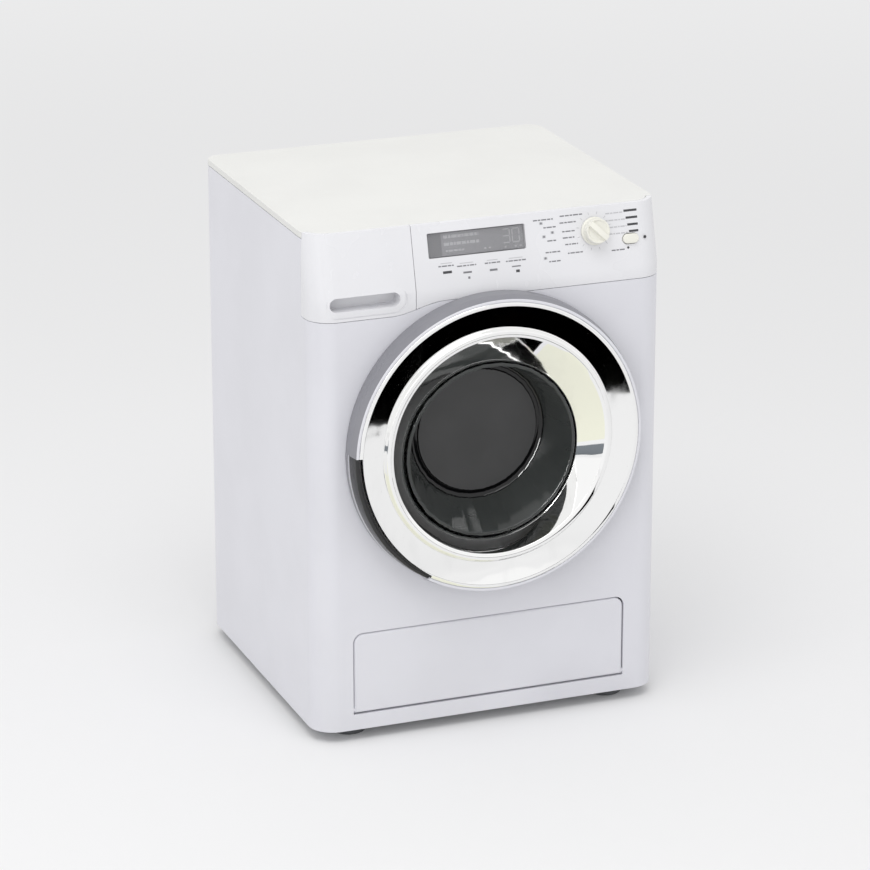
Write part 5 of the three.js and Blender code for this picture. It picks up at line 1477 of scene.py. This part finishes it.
def makeBatteryDoor():
    leaf = batteryPlate("battery_cover", 0, cover["front"], rearY)
    cut(leaf, screwSeat("battery_door_screw"))
    low, pitch, half, width, deep = cover["groove"]
    for i in range(cover["grooves"]):
        cut(leaf, slotPlate("groove", 0, low + i * pitch, half, width, rearY - deep, rearY + mm))
    softened(leaf, cover["doorEdge"], 3, 40)
    place(painted(evened(leaf, 38), "white"), joints["battery_hatch_lift"]["child"], "battery_door")


# Cross-head screws: modelled once, copied to each seat
screw = {
    "head": 3 * mm,
    "thickness": 1.6 * mm,
    "shank": 1.5 * mm,
    "end": 77.5 * mm,
    "point": inMm(2, 0.3),              # length and end radius
    "slot": inMm(0.4, 2.2, 0.72),       # half width, reach, bottom above the head's foot
    "edge": 0.25 * mm,
}


def makeScrews():
    under, shank, end = rearY - screw["thickness"], screw["shank"], screw["end"]
    head = addRod("screw_head", (0, under, 0), (0, rearY, 0), screw["head"])
    width, reach, rise = screw["slot"]
    for x, z in ((width, reach), (reach, width)):
        cut(head, platform("slot", 0, 0, x, z, under + rise, rearY + mm))
    softened(head, screw["edge"], 3, 40)
    long, fine = screw["point"]
    stem = addRod("shank", (0, end + long, 0), (0, under + 0.2 * mm, 0), shank, 24)
    tip = addRod("tip", (0, end + long, 0), (0, end, 0), shank, 24, fine)
    whole = joined("screw", [head, stem, tip])
    painted(smoothed(whole, 40), "steel")
    spots = dict.fromkeys(coverScrews, "cabinet")
    spots["battery_door_screw"] = joints["battery_hatch_lift"]["child"]
    for node, body in spots.items():
        x, y, z = middleOfNode(node)
        place(copyOf(whole, node.replace("screw", "bolt"), (x, 0, z)), body, node)
    bpy.data.objects.remove(whole)


# Plug with two sealing ridges, a round head with a dished face, and a tab to pull it by
plug = {
    "ridges": ((2.9, 0, 0.4), (3.7, 1.4, 0.5), (3.5, 3.4, 0.5), (3.7, 5.4, 0.5)),   # radius, y, corner
    "neck": 3.6 * mm,
    "head": inMm(3.2, 0.8),             # underside and face, in from the rear
    "radius": 8 * mm,
    "dish": inMm(6.2, 5.4, 0.5),        # outer radius, inner radius, depth
    "tab": inMm(4, 1),
    "tabRoot": 1.2 * mm,
    "tabEdge": 0.5 * mm,
}


def makePlug():
    low, (x, y, z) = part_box("drain_plug")[0].y, middleOfNode("drain_plug")
    under, top = (rearY - depth for depth in plug["head"])
    radius, (outer, inner, deep) = plug["radius"], plug["dish"]
    rows = [(speck, low, 0, 0)]
    rows += [(reach * mm, low + y * mm, 0, corner) for reach, y, corner in plug["ridges"]]
    rows += [
        (plug["neck"], under, 0, 0.3), (radius, under, 0, 0.5), (radius, top - 0.2 * mm, 0, 0.7),
        (outer, top, 0, 0.5), (inner, top - deep, 0, 0.5), (speck, top - deep, 0, 0),
    ]
    stopper = turned("outlet_plug", rounded(rows, loop=False), Vector((x, 0, z)), 64)
    tab = platform("tab", x, z, *plug["tab"], top - plug["tabRoot"], rearY)
    weld(stopper, roundEdges(tab, plug["tabEdge"], 4, alongX))
    place(painted(smoothed(stopper, 38), "seal"), "plug", "drain_plug")


slider = {"grooves": 3, "groove": inMm(0.25, 0.6), "edge": 0.22 * mm}       # groove: half width, depth


def makeSlider():
    low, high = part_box("power_slider")
    knob = addBlock("power_knob", low, high)
    half, deep = slider["groove"]
    for i in range(slider["grooves"]):
        x = low.x + (high.x - low.x) * (i + 1) / (slider["grooves"] + 1)
        start, end = (x - half, high.y - deep, low.z - mm), (x + half, high.y + mm, high.z + mm)
        cut(knob, addBlock("rib", start, end))
    softened(knob, slider["edge"], 2, 40)
    place(painted(smoothed(knob, 40), "dark"), "power", "power_slider")


# Loudspeaker: magnet, basket, rim, and the cone with its cap
speaker = {
    "magnet": inMm(8, 6.5),             # radius, depth
    "basket": 16 * mm,
    "rim": inMm(18, 2),                 # radius, thickness
    # the cone from the rim inwards: radius, depth under the rim, corner
    "cone": ((16.3, 0, 0.4), (15.2, 1, 0.6), (14, 0.9, 0.6), (6, 4.1, 0.5), (3.6, 2.8, 1.5)),
    "cap": 2.4 * mm,
}


def makeSpeaker():
    (low, high), (x, y, z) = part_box("speaker"), middleOfNode("speaker")
    front, back, (magnet, deep), (rim, thick) = low.y, high.y, speaker["magnet"], speaker["rim"]
    rows = [
        (speck, front, 0, 0), (magnet, front, 0, 0.8), (magnet, front + deep, 0, 0.5),
        (speaker["basket"], back - thick, 0, 0.8), (rim, back - thick, 0, 0.3), (rim, back, 0, 0.3),
    ]
    rows += [(reach * mm, back - depth * mm, 0, corner) for reach, depth, corner in speaker["cone"]]
    rows.append((speck, back - speaker["cap"], 0, 0))
    unit = turned("sound_unit", rounded(rows, steps=5, loop=False), Vector((x, 0, z)), 80)
    place(painted(smoothed(unit, 38), "dark"), "cabinet", "speaker")


makeScrews()
makeRearCover()
makeBatteryDoor()
makePlug()
makeSlider()
makeSpeaker()
print("screws, rear cover, battery cover, plug, slider and speaker done")

# Finishes of the CAD nodes that are kept as they are
kept = {
    "grey": ("base_tray", "drawer_housing", "fill_chute", "drain_spout", "door_catch", "motor_mount"),
    "dark": ("rotary_switch", "start_switch", "battery_box", "power_switch"),
    "steel": ("drum_shaft", "motor_can", "battery_contact_high", "battery_contact_low"),
    "brass": ("drum_bush", "motor_pinion"),
    "gear": ("drum_gear",),
    "cell": ("battery_cell_1", "battery_cell_2", "battery_cell_3"),
    "board": ("circuit_board",),
}
for finish, names in kept.items():
    for name in names:
        painted(nodes[name], finish)
print("kept nodes painted")


# Stage: floor, cards, sky, lamps and camera
studio = {
    "floor": 12.0,                      # side of the floor, metres
    "floorTone": (0.85, 0.85, 0.855),
    "floorGlow": (0.02, 0.25),          # near the toy and far from it
    "world": 0.78,
    # cards that only reflections see: tone, low corner, size
    "cards": {
        "black_card": ((0, 0, 0), (0.07, -0.455, 0.0004), (0.121, 0.165, 0.001)),
        "dark_card": ((0, 0, 0), (0.036, -0.125, 0.0004), (0.05, 0.046, 0.001)),
        "high_card": ((0, 0, 0), (-0.9, -0.99, 0.275), (0.33, 0.01, 0.25)),
        "pale_card": ((0.3, 0.3, 0.27), (-0.9, -0.99, 0.1), (0.33, 0.01, 0.17)),
        "cream_card": ((0.86, 0.86, 0.73), (-0.45, -0.26, 0.0004), (0.48, 0.177, 0.001)),
        "grey_card": ((0.2, 0.22, 0.24), (-2.2, -0.55, 0.0004), (1.6, 0.36, 0.001)),
    },
    # lamps: place, aim, size, power; the strip only shines in the bowl
    "lamps": {
        "overhead_softbox": ((-0.35, -0.55, 1.5), (0, 0, 0.13), (1.3, 0.9), 7.8),
        "front_fill": ((-1.25, -1.5, 0.7), (0, 0, 0.14), (0.9, 1.1), 3.0),
        "highlight_strip": ((-0.95, -0.7, 0.68), (0, 0, 0.14), (0.35, 1.2), 42.0),
    },
    "cameraPlace": (-0.694, -1.801, 0.7985),        # as solved from the photograph
    "lens": 165,
    "aim": (0, 0, 0.128),
}


def floorMaterial():
    made, start = startMaterial("studio_floor")
    pale, (close, away) = studio["floorTone"], studio["floorGlow"]
    colour = start.noise(1.3, 2).smooth(0.3, 0.7).blend(pale, toned(pale, 0.99))
    reach = start.node("ShaderNodeVectorMath", {"operation": "LENGTH"}, {"Vector": start}, out=1)
    glow = reach.smooth(0.4, 3.0).blend((close,) * 3, (away,) * 3)
    sockets = {"Base Color": colour, "Roughness": 0.9, "Specular IOR Level": 0.0}
    sockets.update({"Emission Color": glow, "Emission Strength": 1.0})
    shader = start.node("ShaderNodeBsdfPrincipled", {}, sockets)
    start.node("ShaderNodeOutputMaterial", {}, {"Surface": shader})
    return made


def makeFloor():
    floor = startPiece("studio_floor", bpy.ops.mesh.primitive_plane_add, size=studio["floor"])
    floor.data.materials.append(floorMaterial())


def makeCards():
    for name, (tone, low, size) in studio["cards"].items():
        made, start = startMaterial(name)
        sockets = {"Base Color": rgba(tone), "Roughness": 1, "Specular IOR Level": 0}
        shader = start.node("ShaderNodeBsdfPrincipled", {}, sockets)
        start.node("ShaderNodeOutputMaterial", {}, {"Surface": shader})
        card = addBlock(name, low, Vector(low) + Vector(size))
        card.data.materials.append(made)
        card.visible_camera = card.visible_diffuse = False
        card.visible_shadow = card.visible_transmission = False


# The sky is white for the camera, for reflections and through clear pieces, and dimmer as a light
def makeSky():
    world = bpy.data.worlds.new("studio_world")
    world.use_nodes = True
    world.node_tree.nodes.clear()
    start = Wire(world.node_tree, None)
    rays = world.node_tree.nodes.new("ShaderNodeLightPath")
    seen = Wire(world.node_tree, rays.outputs["Is Camera Ray"])
    for name in ("Is Glossy Ray", "Is Transmission Ray"):
        seen = seen.maths("MAXIMUM", seen, Wire(world.node_tree, rays.outputs[name]))
    strength = seen * (1 - studio["world"]) + studio["world"]
    sky = start.node("ShaderNodeBackground", {}, {"Color": (1, 1, 1, 1), "Strength": strength})
    start.node("ShaderNodeOutputWorld", {}, {"Surface": sky})
    bpy.context.scene.world = world


def makeLamps():
    for name, (spot, target, size, power) in studio["lamps"].items():
        aim = (Vector(spot) - Vector(target)).to_track_quat("Z", "Y").to_euler()
        lamp = startPiece(name, bpy.ops.object.light_add, type="AREA", location=spot, rotation=aim)
        lamp.data.shape = "RECTANGLE"
        lamp.data.size, lamp.data.size_y = size
        lamp.data.energy = power
    strip = bpy.data.objects["highlight_strip"]
    strip.visible_diffuse = False
    lit = bpy.data.collections.new("highlight_only")
    lit.objects.link(bpy.data.objects["bowl_window"])
    strip.light_linking.receiver_collection = lit


# The camera keeps the photograph's direction; a longer lens brings the toy nearer
def makeCamera():
    back = Vector(studio["cameraPlace"]) - Vector(studio["aim"])
    camera = startPiece("studio_camera", bpy.ops.object.camera_add, location=studio["cameraPlace"])
    camera.rotation_mode = "QUATERNION"
    camera.rotation_quaternion = back.to_track_quat("Z", "Y")
    camera.data.lens = studio["lens"]
    camera.data.sensor_width = 36
    bpy.context.scene.camera = camera


makeFloor()
makeCards()
makeSky()
makeLamps()
makeCamera()
bpy.context.scene.view_settings.view_transform = "Standard"
print("stage done")
